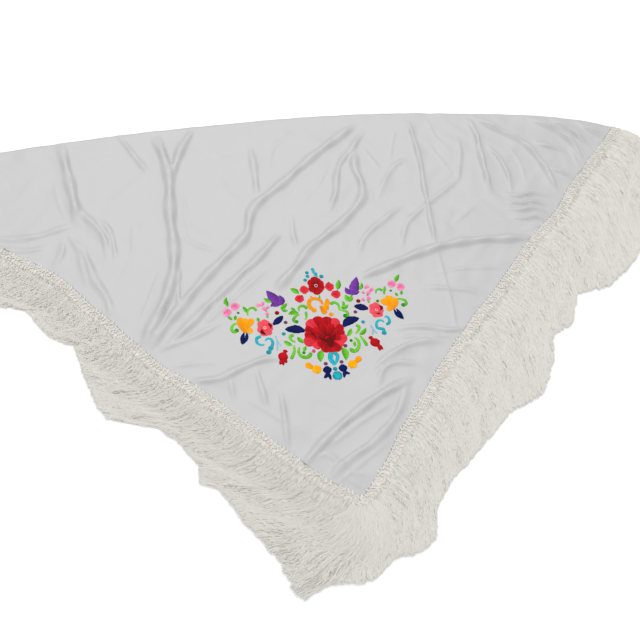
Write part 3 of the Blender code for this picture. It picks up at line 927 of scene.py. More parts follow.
@dataclass
class Drape:
    """How far the laid-out cloth lifts off the surface: its folds, wrinkles and broad swells.

    Lengths are in centimetres. Shares are of a fold's height or half width.
    """

    spacing: float = 0.9
    longer: float = 1.6
    end_taper: float = 5.0
    end_turn: float = 1.7
    flat_top: float = 0.15
    skirt_width: float = 2.4
    skirt_share: float = 0.16
    lean: float = 0.26
    lean_turn: float = 2.4
    uneven: float = 0.18
    uneven_length: float = 9.0
    blend: float = 2.2
    warp: float = 2.4
    warp_length: float = 21.0
    swell_rise: float = 0.5

    def __post_init__(self) -> None:
        """Draws the crests of the folds and wrinkles once, each a little longer than its fold."""
        self.crests: list[np.ndarray] = []
        for fold in (*FOLDS, *WRINKLES):
            crest = np.array(curve_through(fold.crest, self.spacing))
            ends = []
            for end, inner in ((crest[0], crest[1]), (crest[-1], crest[-2])):
                ends.append(end + (end - inner) / np.hypot(*(end - inner)) * self.longer)
            self.crests.append(np.vstack((ends[0], crest, ends[1])))

    def profile(self, index: int, fold: Fold, points: np.ndarray) -> np.ndarray:
        """Height of one fold.

        Args:
            index: The fold's number, which sets how it leans.
            fold: The fold.
            points: Places in plan, one row each.

        Returns:
            Its share of full height at each place.
        """
        crest = self.crests[index]
        length = float(np.hypot(*np.diff(crest, axis=0).T).sum())
        away, along = near_line(crest, points)
        turn = 2 * math.pi * along / self.uneven_length + index * self.lean_turn
        half = 0.5 * fold.width * (1 + self.uneven * np.sin(turn))
        across = np.clip(away / half, -1.0, 1.0)
        across = across + self.lean * math.sin(self.lean_turn * index) * (1 - across**2)
        core = smooth((1 - np.abs(across)) / (1 - self.flat_top))
        skirt = 0.5 + 0.5 * np.cos(math.pi * np.clip(away / half / self.skirt_width, -1.0, 1.0))
        taper = smooth(np.minimum(along, length - along) / min(self.end_taper, 0.5 * length))
        taper *= 1 + self.uneven * np.sin(self.end_turn * turn)
        return taper * ((1 - self.skirt_share) * core + self.skirt_share * skirt)

    def lift(self, points: np.ndarray) -> np.ndarray:
        """How far the cloth lifts off the surface.

        Args:
            points: Places in plan, one row each.

        Returns:
            The lift in millimetres at each place.
        """
        raised = np.zeros(len(points))
        fine = np.zeros(len(points))
        for index, fold in enumerate((*FOLDS, *WRINKLES)):
            reach = fold.width * self.skirt_width
            low = self.crests[index].min(axis=0) - reach
            high = self.crests[index].max(axis=0) + reach
            near = np.all((points > low) & (points < high), axis=1)
            if near.any():
                height = fold.height * self.profile(index, fold, points[near])
                if index < len(FOLDS):
                    raised[near] += np.abs(height) ** self.blend
                else:
                    fine[near] += height
        broad = np.zeros(len(points))
        warped = points + self.warp * np.sin(2 * math.pi * points[:, ::-1] / self.warp_length)
        for swell in SWELLS:
            turn = math.radians(swell.direction)
            run = warped @ np.array((math.cos(turn), math.sin(turn)))
            broad += swell.height * np.sin(2 * math.pi * run / swell.length + swell.phase)
        broad = np.maximum(broad + self.swell_rise, 0.0)
        return np.maximum(raised ** (1 / self.blend) + fine + broad, 0.0)


def at(row: int, column: int) -> int:
    """Number of a point in a lattice whose rows grow by one point each."""
    return row * (row + 1) // 2 + column


@dataclass
class Cloth:
    """The crepe triangle: a thin sheet on its folds, with a narrow hem on its long edge.

    Thickness, clearance and the hem's extra are in millimetres.
    """

    outline: Outline
    drape: Drape
    rows: int = 330
    tip_rows: int = 3
    edge_spacing: float = 0.5
    thickness: float = 0.9
    clearance: float = 0.2
    hem_rows: int = 3
    hem_extra: float = 0.5
    bow_power: float = 2.2

    def lattice(self) -> tuple[np.ndarray, np.ndarray]:
        """The cloth's points in plan, row by row from the point to the long edge.

        Returns:
            The places, and the share of the way along the left and right short edges for each.
        """
        legs = {side: [] for side in Side}
        for row in range(self.rows + 1):
            along = self.outline.leg_length * max(row, self.tip_rows) / self.rows
            for side in Side:
                place = self.outline.leg(side, along)
                if row < self.tip_rows:
                    place = self.outline.point_arc(-math.pi / 2).lerp(place, row / self.tip_rows)
                legs[side].append(np.array(place))
        edge = np.array(curve_through(self.outline.long_edge(), self.edge_spacing))
        places, weave = [], []
        for row, (left, right) in enumerate(zip(*legs.values())):
            share = np.linspace(0.0, 1.0, row + 1)[:, None]
            line = left * (1 - share) + right * share
            chord = legs[Side.LEFT][-1] * (1 - share) + legs[Side.RIGHT][-1] * share
            bow = np.interp(chord[:, 0], edge[:, 0], edge[:, 1]) - chord[:, 1]
            line[:, 1] += bow * (row / self.rows) ** self.bow_power
            places.append(line)
            column = np.arange(row + 1)
            weave.append(np.column_stack((row - column, column)) / self.rows)
        return np.concatenate(places), np.concatenate(weave)

    @staticmethod
    def faces(rows: int, height: np.ndarray) -> list[tuple[int, ...]]:
        """A layer's triangles.

        Args:
            rows: The layer's rows.
            height: Height of each lattice point. Squares are split along the more level diagonal, so that
                a fold's crest isn't notched.

        Returns:
            The triangles, and a last row of them along the long edge.
        """
        last = rows - 1
        found = []
        for row in range(last):
            for column in range(row + 1):
                low, right = at(row, column), at(row + 1, column + 1)
                high, left = at(row + 2, column + 1), at(row + 1, column)
                if abs(height[low] - height[high]) < abs(height[left] - height[right]):
                    found += [(low, right, high), (low, high, left)]
                else:
                    found += [(low, right, left), (right, high, left)]
        return found + [
            (at(last, column), at(last + 1, column + 1), at(last + 1, column)) for column in range(last + 1)
        ]

    @staticmethod
    def rim(rows: int) -> list[int]:
        """A layer's edge points.

        Args:
            rows: The layer's rows.

        Returns:
            The points' numbers, once round and counterclockwise from above.
        """
        right = [at(row, row) for row in range(rows + 1)]
        top = [at(rows, column) for column in range(rows - 1, 0, -1)]
        return right + top + [at(row, 0) for row in range(rows, 0, -1)]

    def build(self, finish: Material) -> Object:
        """Makes the closed sheet.

        Args:
            finish: The crepe.

        Returns:
            The cloth.
        """
        places, weave = self.lattice()
        low = (self.drape.lift(places) + self.clearance) * MM
        row = np.rint(weave.sum(axis=1) * self.rows)
        hem = np.where(row > self.rows - self.hem_rows, self.hem_extra, 0.0)
        high = low + (self.thickness + hem) * MM
        count = len(places)
        half = self.rows // 2
        under = np.array([at(2 * row, 2 * column) for row in range(half + 1) for column in range(row + 1)])
        points = np.concatenate((
            np.column_stack((places * CM, high)),
            np.column_stack((places[under] * CM, low[under])),
        ))
        upper = self.faces(self.rows, low)
        lower = [tuple(count + k for k in reversed(face)) for face in self.faces(half, low[under])]
        rim = self.rim(self.rows)
        foot = [count + k for k in self.rim(half)]
        steps = zip(rim[::2], rim[1::2], rim[2::2] + rim[:1], foot, foot[1:] + foot[:1])
        wall = [(onward, middle, here, below, beyond) for here, middle, onward, below, beyond in steps]
        cloth = new_piece("cloth_sheet", points, upper + lower + wall, finish)
        corners = np.empty(len(cloth.data.loops), dtype=np.int32)
        cloth.data.loops.foreach_get("vertex_index", corners)
        layer = cloth.data.uv_layers.new(name="weave")
        both = np.concatenate((weave, weave[under]))
        layer.uv.foreach_set("vector", both[corners].astype(np.float32).ravel())
        return cloth

    def top(self, points: np.ndarray) -> np.ndarray:
        """Height of the cloth's upper face, in millimetres, at places in plan."""
        return self.drape.lift(points) + self.clearance + self.thickness

    def cut(self) -> tuple[float, float, float]:
        """The cloth's flat size.

        Returns:
            Its width and its depth in metres, and its area in square metres.
        """
        places, _ = self.lattice()
        rim = places[self.rim(self.rows)]
        onward = np.roll(rim, -1, axis=0)
        area = 0.5 * abs(float(np.sum(rim[:, 0] * onward[:, 1] - rim[:, 1] * onward[:, 0])))
        width, depth = np.ptp(places, axis=0) * CM
        return float(width), float(depth), area * CM**2


class Thread(Enum):
    """Shades of embroidery thread, as red, green and blue on the usual scale of 0 to 255."""

    RED = (198, 6, 20)
    DARK_RED = (104, 0, 6)
    CORAL = (226, 58, 74)
    ROSE = (236, 92, 104)
    PINK = (244, 158, 194)
    DEEP_PINK = (216, 84, 142)
    AMBER = (252, 170, 4)
    ORANGE = (232, 132, 2)
    LIME = (120, 210, 44)
    GREEN = (40, 136, 12)
    NAVY = (1, 20, 96)
    MIDNIGHT = (0, 7, 46)
    TURQUOISE = (38, 186, 206)
    TEAL = (14, 122, 136)
    ICE = (140, 188, 208)
    PURPLE = (124, 62, 168)
    GRAPE = (84, 34, 120)
    PLUM = (112, 52, 92)
    PEARL = (238, 222, 228)

    def linear(self) -> np.ndarray:
        """The shade as a linear colour, by the usual curve of screens."""
        share = np.array(self.value) / 255
        return np.where(share < 0.04045, share / 12.92, ((share + 0.055) / 1.055) ** 2.4)


class Lay(NamedTuple):
    """How satin stitch is laid along a line: its widths, points across it, their run and a vein's depth."""

    widths: Table
    columns: int
    lengthwise: bool = False
    vein: float = 0.0


class Form(Enum):
    """Shapes that satin stitch is worked in."""

    LEAF = Lay(((0, 0.12), (0.2, 0.72), (0.42, 1.0), (0.7, 0.78), (0.9, 0.34), (1, 0.06)), 7, False, 0.35)
    BLADE = Lay(((0, 0.3), (0.3, 0.9), (0.55, 1.0), (0.85, 0.62), (1, 0.12)), 7)
    PETAL = Lay(((0, 0.3), (0.35, 0.72), (0.68, 1.0), (0.86, 0.9), (0.96, 0.6), (1, 0.2)), 9, True)
    DOT = Lay(((0, 0.1), (0.06, 0.47), (0.2, 0.8), (0.5, 1.0), (0.8, 0.8), (0.94, 0.47), (1, 0.1)), 5)
    CURL = Lay(((0, 0.3), (0.08, 0.6), (0.5, 0.85), (0.85, 1.0), (0.96, 0.85), (1, 0.3)), 5)
    CORD = Lay(((0, 0.5), (0.05, 1.0), (0.95, 1.0), (1, 0.5)), 5)


class Motif(NamedTuple):
    """Strokes of one form and thread: each row holds a width in millimetres and the points of its line."""

    form: Form
    first: Thread
    last: Thread
    layer: int
    rows: tuple[tuple[float | Plan, ...], ...]


class Bloom(NamedTuple):
    """A round flower: its centre, reach across and up, petals, their width and its threads."""

    centre: Plan
    reach: Plan
    petals: int
    width: float
    first: Thread
    last: Thread
    eye: float = 0.0


MOTIFS = (
    # The rose: outer petals, inner petals, lower lobe and heart.
    Motif(Form.DOT, Thread.RED, Thread.RED, -1, ((44, (-1.2, -2.6)), (40, (1.2, -3.2)), (30, (0.4, -5.2)))),
    Motif(Form.PETAL, Thread.RED, Thread.CORAL, 0, (
        (20, (-0.6, -3), (-1.9, -1.3), (-2.9, 0.25)), (17, (0.6, -3), (1.7, -1.4), (2.6, 0)),
        (17, (0.8, -3.9), (2.4, -4.2), (3.7, -4.5)), (15, (0.8, -4.3), (1.9, -5), (2.9, -5.5)),
        (19, (-0.8, -3.8), (-2.6, -4), (-4.4, -4.4)), (17, (-0.6, -4.2), (-1.8, -4.8), (-2.8, -5.5)),
    )),
    Motif(Form.PETAL, Thread.DARK_RED, Thread.RED, 0, (
        (20, (-0.3, -3), (-0.9, -1), (-1.1, 0.85)), (20, (0.2, -3), (0.6, -1), (0.7, 0.6)),
        (16, (0.8, -3.3), (2.2, -2.3), (3.4, -1.6)), (15, (0.8, -3.5), (2.4, -3.1), (3.5, -3)),
        (18, (-0.8, -3.2), (-2.4, -2), (-3.5, -1.1)), (18, (-0.8, -3.4), (-2.5, -3), (-4, -2.6)),
    )),
    Motif(Form.PETAL, Thread.DARK_RED, Thread.RED, 1, (
        (15, (-0.2, -3.6), (-1.3, -2.5), (-2.2, -1.5)), (16, (0, -3.4), (-0.2, -2.1), (-0.5, -0.8)),
        (15, (0.3, -3.5), (0.9, -2.3), (1.3, -1)), (13, (0.6, -3.8), (1.7, -3.1), (2.6, -2.4)),
        (13, (0.6, -4.2), (1.6, -4.1), (2.6, -4)), (15, (-0.4, -4), (-1.6, -3.6), (-2.8, -3.3)),
        (12, (-0.3, -4.4), (-1.2, -4.8), (-2.1, -5)), (15, (0.2, -4.4), (-0.4, -5.5), (-1, -6.7)),
        (15, (0.6, -4.4), (1.2, -5.5), (1.8, -6.8)), (16, (0.4, -4.4), (0.4, -5.6), (0.4, -6.9)),
    )),
    Motif(Form.BLADE, Thread.DARK_RED, Thread.DARK_RED, 2, (
        (15, (0.4, -3.7), (0.4, -4.9), (0.4, -6.1)), (6, (-1.6, -3.2), (-1, -3.9), (-0.2, -4.4)),
        (6, (1.7, -3.4), (1.2, -4.1), (0.8, -4.8)), (5, (-2.7, -2.4), (-2.2, -3.2), (-2.1, -4)),
    )),
    # Leaves.
    Motif(Form.LEAF, Thread.GREEN, Thread.LIME, 0, (
        (9, (-3.5, 6.1), (-4.1, 6.8), (-5, 7.4)), (9, (4, 6.2), (4.4, 7.2), (4.7, 8.4)),
        (8, (-4.3, 2), (-5.3, 2.1), (-6.3, 1.9)), (6, (-4.8, 2.2), (-5.2, 2.7), (-5.5, 3.3)),
        (8, (3.8, 2.1), (4.6, 2.2), (5.4, 2.6)), (5, (4.2, 2.5), (4.5, 3), (4.5, 3.6)),
        (7, (-8.9, 4.9), (-9.5, 5.2), (-10.3, 5.9)), (7, (-7.5, 3.3), (-6.8, 3.7), (-6.1, 4.3)),
        (6, (-7.4, 3.2), (-6.8, 2.8), (-6.2, 2.6)), (6, (8.2, 5.7), (8.8, 6.4), (9, 7.3)),
        (9, (5.9, 3.2), (5.5, 4), (5.2, 4.9)), (7, (5.8, 3.2), (6.2, 4), (6.4, 4.8)),
        (5, (-12, 1), (-12, 2)), (6, (-13.7, 3.1), (-14, 3.8), (-14.4, 4.6)),
        (5, (12.9, 4.6), (13.1, 5.2), (13.4, 6)), (7, (-17.1, 4.7), (-17.4, 5.8), (-17.1, 6.9)),
        (7, (15.6, 6.6), (16.1, 7.4), (16.8, 8.2)), (5, (-17.4, 2.8), (-16.6, 1.9)),
        (5, (-15.9, 2.8), (-16.2, 1.8)), (5, (15.1, 4.3), (15.4, 3.4)), (5, (16.5, 4.5), (16.1, 3.6)),
        (7, (-6.6, -4.6), (-7.3, -4.2), (-8.1, -3.5)), (7, (-5.4, -3), (-4.9, -3.8), (-4.2, -4.4)),
        (7, (6.1, -4), (7, -3.5), (7.7, -2.7)), (7, (4.9, -2.5), (4.4, -3.4), (3.7, -4.1)),
        (6, (-4.8, -6), (-4.5, -5.5), (-4.2, -5)), (5, (4.8, -6.3), (4.8, -5.7), (5, -5.2)),
        (11, (-1.4, -6.2), (-1.9, -7.3), (-2.1, -8.5)), (11, (2.4, -6.1), (2.8, -7.4), (2.6, -8.8)),
    )),
    # Scrolls and stems.
    Motif(Form.CURL, Thread.LIME, Thread.GREEN, 0, (
        (5, (-4.1, 2.3), (-4.1, 3), (-3.6, 3.4), (-2.9, 3.2), (-2.6, 2.6)),
        (4, (-3.3, 0.4), (-3, 1), (-2.9, 2.1)), (5, (-4.2, 1.7), (-5, 1.3), (-5.5, 0.6), (-5, 0.1)),
        (5, (3.4, 1.7), (3.5, 2.6), (3.2, 3.2), (2.6, 3.4), (2, 3)),
        (5, (3.4, 1.7), (4.1, 1.5), (4.8, 1.1), (4.8, 0.4), (4.3, 0.2)),
        (4, (-13.7, 2.5), (-13.7, 3.3), (-13.3, 3.9), (-12.7, 4.1), (-12.2, 3.8), (-12.1, 3.3)),
        (4, (11.2, 4.5), (11.5, 5.2), (12.1, 5.4), (12.7, 5)), (4, (12.9, 4.1), (12.9, 4.8)),
        (5, (-15.7, 1.2), (-16.5, 1), (-17, 0.4), (-17, -0.3), (-16.6, -0.6), (-16.2, -0.3)),
        (5, (15.1, 2.9), (15.9, 2.7), (16.6, 2.3), (16.6, 1.6), (16, 1.3)),
        (5, (-6.3, -4.6), (-6.5, -5.9), (-7.3, -7.3)), (5, (6.2, -4.2), (6.7, -5.3), (7.1, -6.4)),
        (5, (-5.9, -4), (-6.6, -3.5), (-6.7, -2.8), (-6, -2.5)),
        (5, (5.4, -3.7), (6, -3.2), (6.4, -2.4), (5.9, -1.9)),
        (6, (-5.4, -5.1), (-5.7, -6), (-5.4, -6.9), (-4.5, -7.3), (-3.8, -7), (-3.5, -6.4)),
        (6, (5, -4.4), (5.6, -5.1), (5.6, -6.1), (5, -7), (4.2, -7.1), (3.8, -6.5)),
        (3, (-10.1, 3.1), (-10.2, 1.6)), (3, (9.6, 3.6), (9.4, 2.6)), (3, (0.3, 5.4), (0.2, 4.6)),
    )),
    Motif(Form.DOT, Thread.GREEN, Thread.GREEN, 0, (
        (7, (-16.2, -0.3)), (7, (16, 1.4)), (6, (-5, 0.2)), (7, (4.3, 0.3)), (5, (-4.8, -6.3)),
        (5, (4.3, -5)), (5, (11.2, 2.8)), (4, (-15.4, 3.3)), (4, (14.3, 4.8)),
    )),
    # Amber scroll, tulips and dumb-bells.
    Motif(Form.CURL, Thread.ORANGE, Thread.AMBER, 0, (
        (
            7, (0.5, 3.2), (0.4, 3.9), (0, 4.4), (-0.8, 4.7), (-1.6, 4.5), (-2, 3.8), (-1.9, 2.9),
            (-1.3, 2.3),
        ),
        (9, (0.1, 3), (0.4, 2), (0.7, 1.2)), (7, (1.7, 4.4), (1.2, 3.3), (0.7, 1.9)),
        (4, (-1.4, 5.3), (-1.1, 4.8)), (6, (1.5, 2.8), (1, 2)), (5, (1.9, 3.9), (1.4, 2.9)),
    )),
    Motif(Form.DOT, Thread.ORANGE, Thread.AMBER, 1, (
        (8, (-1.3, 2.2)), (7, (1.75, 0.95)), (5, (3.25, -10.2)), (5, (-3, -10.5)),
    )),
    Motif(Form.PETAL, Thread.ORANGE, Thread.AMBER, 0, (
        (12, (-14.7, -1), (-15.2, 0.7), (-15.2, 2.3)), (12, (-14.6, -0.9), (-14, 0.6), (-12.9, 1.7)),
        (10, (-14.8, -0.7), (-14.1, -0.5), (-13.3, -1)), (17, (-14.8, -1), (-14.6, 0.4), (-14.3, 2)),
        (12, (14.2, 0.8), (13.1, 2), (11.8, 3)), (15, (14.1, 0.9), (13.7, 2.3), (13.3, 3.8)),
        (11, (14.1, 0.9), (14.6, 2), (14.5, 3.2)), (9, (14.2, 0.9), (13.3, 0.9), (12.6, 0.5)),
        (10, (-3.4, -9.7), (-4.1, -9.2), (-4.9, -8.6)), (10, (3.9, -9.5), (4.6, -9.1), (5.4, -8.4)),
    )),
    # Navy leaves, buds and florets.
    Motif(Form.BLADE, Thread.NAVY, Thread.MIDNIGHT, 0, (
        (11, (-9.4, 0.1), (-8.4, 0.8), (-7.3, 1.7)), (15, (-3.8, -1.9), (-5.2, -1.4), (-7.4, -1.2)),
        (7, (-5.3, -1.2), (-5.5, -0.4)), (13, (9, 1.3), (7.8, 1.8), (6.4, 2.2)),
        (15, (3.5, -1.9), (4.7, -0.9), (6.8, -0.5)), (6, (-14.4, -1), (-14.7, -2.2), (-15.6, -3.4)),
        (6, (-14.9, -0.9), (-15.4, -2), (-15.7, -3.3)), (6, (14.4, 0.7), (14.9, -0.4), (15.3, -1.7)),
        (6, (13.9, 0.6), (14.3, -0.6), (15.2, -1.6)), (14, (-1.2, -9.5), (-1.2, -10.3), (-1.1, -11.1)),
        (14, (1.7, -9.5), (1.7, -10.3), (1.7, -11.1)), (6, (-1.2, -10.8), (-1.6, -11.4), (-2.1, -11.8)),
        (5, (-1.1, -10.8), (-1, -11.6), (-0.9, -12.3)), (5, (1.8, -10.8), (2.2, -11.3), (2.8, -11.5)),
        (5, (1.7, -10.8), (1.7, -11.5), (1.5, -12.2)),
    )),
    # Purple leaves and small dots.
    Motif(Form.LEAF, Thread.GRAPE, Thread.PURPLE, 0, (
        (17, (-7.3, 4), (-8.3, 5.5), (-9.5, 7.5)), (13, (-7.5, 4), (-7.1, 5), (-7.2, 6.2)),
        (9, (-7.6, 3.9), (-8.5, 4.3), (-9.3, 4)), (17, (6.5, 4.6), (7.3, 6.2), (8.3, 8.6)),
        (9, (6.8, 4.8), (7.5, 5.2), (8.2, 5.3)), (9, (6.3, 4.8), (5.9, 5.5), (5.6, 6.5)),
    )),
    Motif(Form.DOT, Thread.PLUM, Thread.PLUM, 0, (
        (6, (-7.05, 0.25)), (6, (6.4, 0.9)), (6, (3.05, -5.9)), (6, (-1.25, -9)), (6, (1.7, -9)),
    )),
    Motif(Form.DOT, Thread.DEEP_PINK, Thread.PLUM, 0, ((6, (-2.95, -6.2)),)),
    Motif(Form.DOT, Thread.DARK_RED, Thread.RED, 1, (
        (7, (-8.3, 2.45)), (7, (7.5, 3.25)), (4, (-2.3, 7.5)), (4, (-3.1, 5.5)), (4, (2.6, 7.8)),
        (4, (3.9, 5.8)),
    )),
    # Turquoise drops, scrolls and sprigs.
    Motif(Form.CURL, Thread.TURQUOISE, Thread.TEAL, 0, (
        (5, (0.3, 9.6), (0.2, 10.4), (0, 11.5)), (4, (0.6, 9.3), (0.5, 10.4)),
        (5, (-11.6, -3.8), (-12.3, -3.8), (-12.9, -3.3), (-12.8, -2.4), (-12, -2)),
        (5, (-11.4, -3.1), (-10.9, -2.7), (-10.3, -2.9), (-10.1, -3.7), (-10.5, -4.6), (-11.1, -5.5)),
        (5, (11.4, -1.9), (11, -1.4), (10.4, -1.4), (9.9, -1.9), (9.9, -2.9), (10.9, -3.3), (10.9, -4)),
        (5, (11.7, -0.9), (12.2, -0.7), (12.5, -1.3), (12.4, -2), (11.7, -2.5)),
        (6, (0.2, -9.5), (-0.3, -8.3), (-0.1, -7.3), (0.4, -6.9)),
        (6, (0.2, -9.5), (0.9, -8.6), (1.2, -7.6), (0.6, -6.9)), (5, (0.3, -7.1), (0.1, -8.3), (0.2, -9.3)),
    )),
    Motif(Form.DOT, Thread.TEAL, Thread.TURQUOISE, 0, (
        (6, (-1.15, 10.5)), (6, (-1.2, 9.7)), (6, (-1.8, 8.9)), (7, (1.5, 9.4)), (6, (-7.8, -2.1)),
        (6, (7.4, -1.4)), (8, (-10.6, -4.7)), (8, (-11.1, -5.5)), (8, (10.9, -4.1)), (7, (0.25, -10.25)),
    )),
    Motif(Form.CORD, Thread.ICE, Thread.ICE, 0, (
        (2, (-9.4, -2.3), (-9.2, -3.4), (-8.7, -4.5)), (2, (-9.2, -3.4), (-9.5, -5.3)),
        (2, (8.7, -2.2), (9, -3.1), (9.5, -4.1)), (2, (9, -3.1), (8.6, -4.2)),
        (2, (-13.9, -0.4), (-14.1, -1.4)), (2, (0.2, -7.6), (0.3, -8.4)),
    )),
    # Red buds.
    Motif(Form.BLADE, Thread.RED, Thread.DARK_RED, 0, (
        (16, (-8.2, -5.8), (-8.7, -6.7), (-9, -7.6)), (6, (-8.9, -7), (-9.2, -7.6), (-9.5, -8.2)),
        (5, (-8.8, -7.2), (-8.9, -7.8), (-8.9, -8.4)), (6, (-8.5, -7), (-8.4, -7.5), (-8.2, -8)),
        (16, (8.2, -5), (8.7, -5.9), (9.2, -6.8)), (7, (8.7, -5.7), (9.2, -5.7), (9.7, -5.8)),
        (6, (9.1, -6.4), (9.3, -7.1), (9.2, -7.7)), (6, (9.2, -6.3), (9.5, -6.9), (9.9, -7.5)),
        (8, (-8, -5.3), (-8.2, -5.9)), (8, (8, -4.5), (8.2, -5.1)),
    )),
    # Pink sprays, and the dark crescents of the coral flowers.
    Motif(Form.PETAL, Thread.DEEP_PINK, Thread.PINK, 0, (
        (6, (-10.7, 4.3), (-11.3, 4.5), (-12, 4.5)), (5, (-10.5, 4.4), (-10.6, 5.2)),
        (7, (-10.2, 3), (-10.4, 3.5), (-10.8, 4)), (5, (-10, 3.5), (-9.6, 4.2)),
        (6, (-10.2, 1.9), (-10.1, 2.8)), (7, (9.3, 5.9), (9.8, 6.2), (10.2, 6.5)),
        (7, (10.1, 5), (10.5, 5.4), (11, 5.8)), (5, (9, 4.7), (8.7, 5.3)),
        (7, (9.4, 4.2), (9.8, 4.7), (10, 5.2)), (7, (9.3, 3), (9.6, 3.5), (9.8, 4)),
        (6, (8.7, 3.1), (8.3, 3.8)),
    )),
    Motif(Form.BLADE, Thread.DARK_RED, Thread.DARK_RED, 2, (
        (6, (-11.7, -0.5), (-11.6, -1.3), (-10.9, -1.9)), (5, (11.3, 1.8), (11.6, 1.2), (11.1, 0.5)),
        (4, (10.2, 0.2), (10.7, 0), (11.1, 0.2)), (5, (-10.3, 0.5), (-9.9, -0.2), (-10.1, -0.9)),
    )),
)

BLOOMS = (
    Bloom((0.05, 7.5), (1.55, 2), 9, 12, Thread.DARK_RED, Thread.RED, 2.9),
    *(Bloom(*place, 7, 7, Thread.RED, Thread.CORAL) for place in (
        ((-2.35, 6.85), (0.85, 0.9)), ((-3.6, 5), (0.85, 0.85)), ((2.6, 7), (0.85, 0.95)),
        ((3.5, 5.2), (0.9, 0.9)),
    )),
    Bloom((-11, -0.4), (1.45, 1.8), 10, 9.5, Thread.CORAL, Thread.ROSE, 2.4),
    Bloom((10.5, 0.9), (1.4, 1.7), 10, 9, Thread.CORAL, Thread.ROSE, 2.4),
    *(Bloom(*place, 5, 8, Thread.DEEP_PINK, Thread.PINK) for place in (
        ((-17.4, 3.6), (0.8, 0.85)), ((-15.8, 4.7), (0.85, 0.8)), ((14.8, 6.25), (0.85, 0.8)),
        ((16.4, 5.4), (0.8, 0.85)),
    )),
    Bloom((0.4, -11.6), (0.85, 0.9), 6, 9, Thread.TURQUOISE, Thread.TEAL),
    *(Bloom(centre, (0.85, 0.85), 6, 9, Thread.AMBER, Thread.AMBER) for centre in (
        (-3.1, -9.9), (3.6, -9.7),
    )),
)


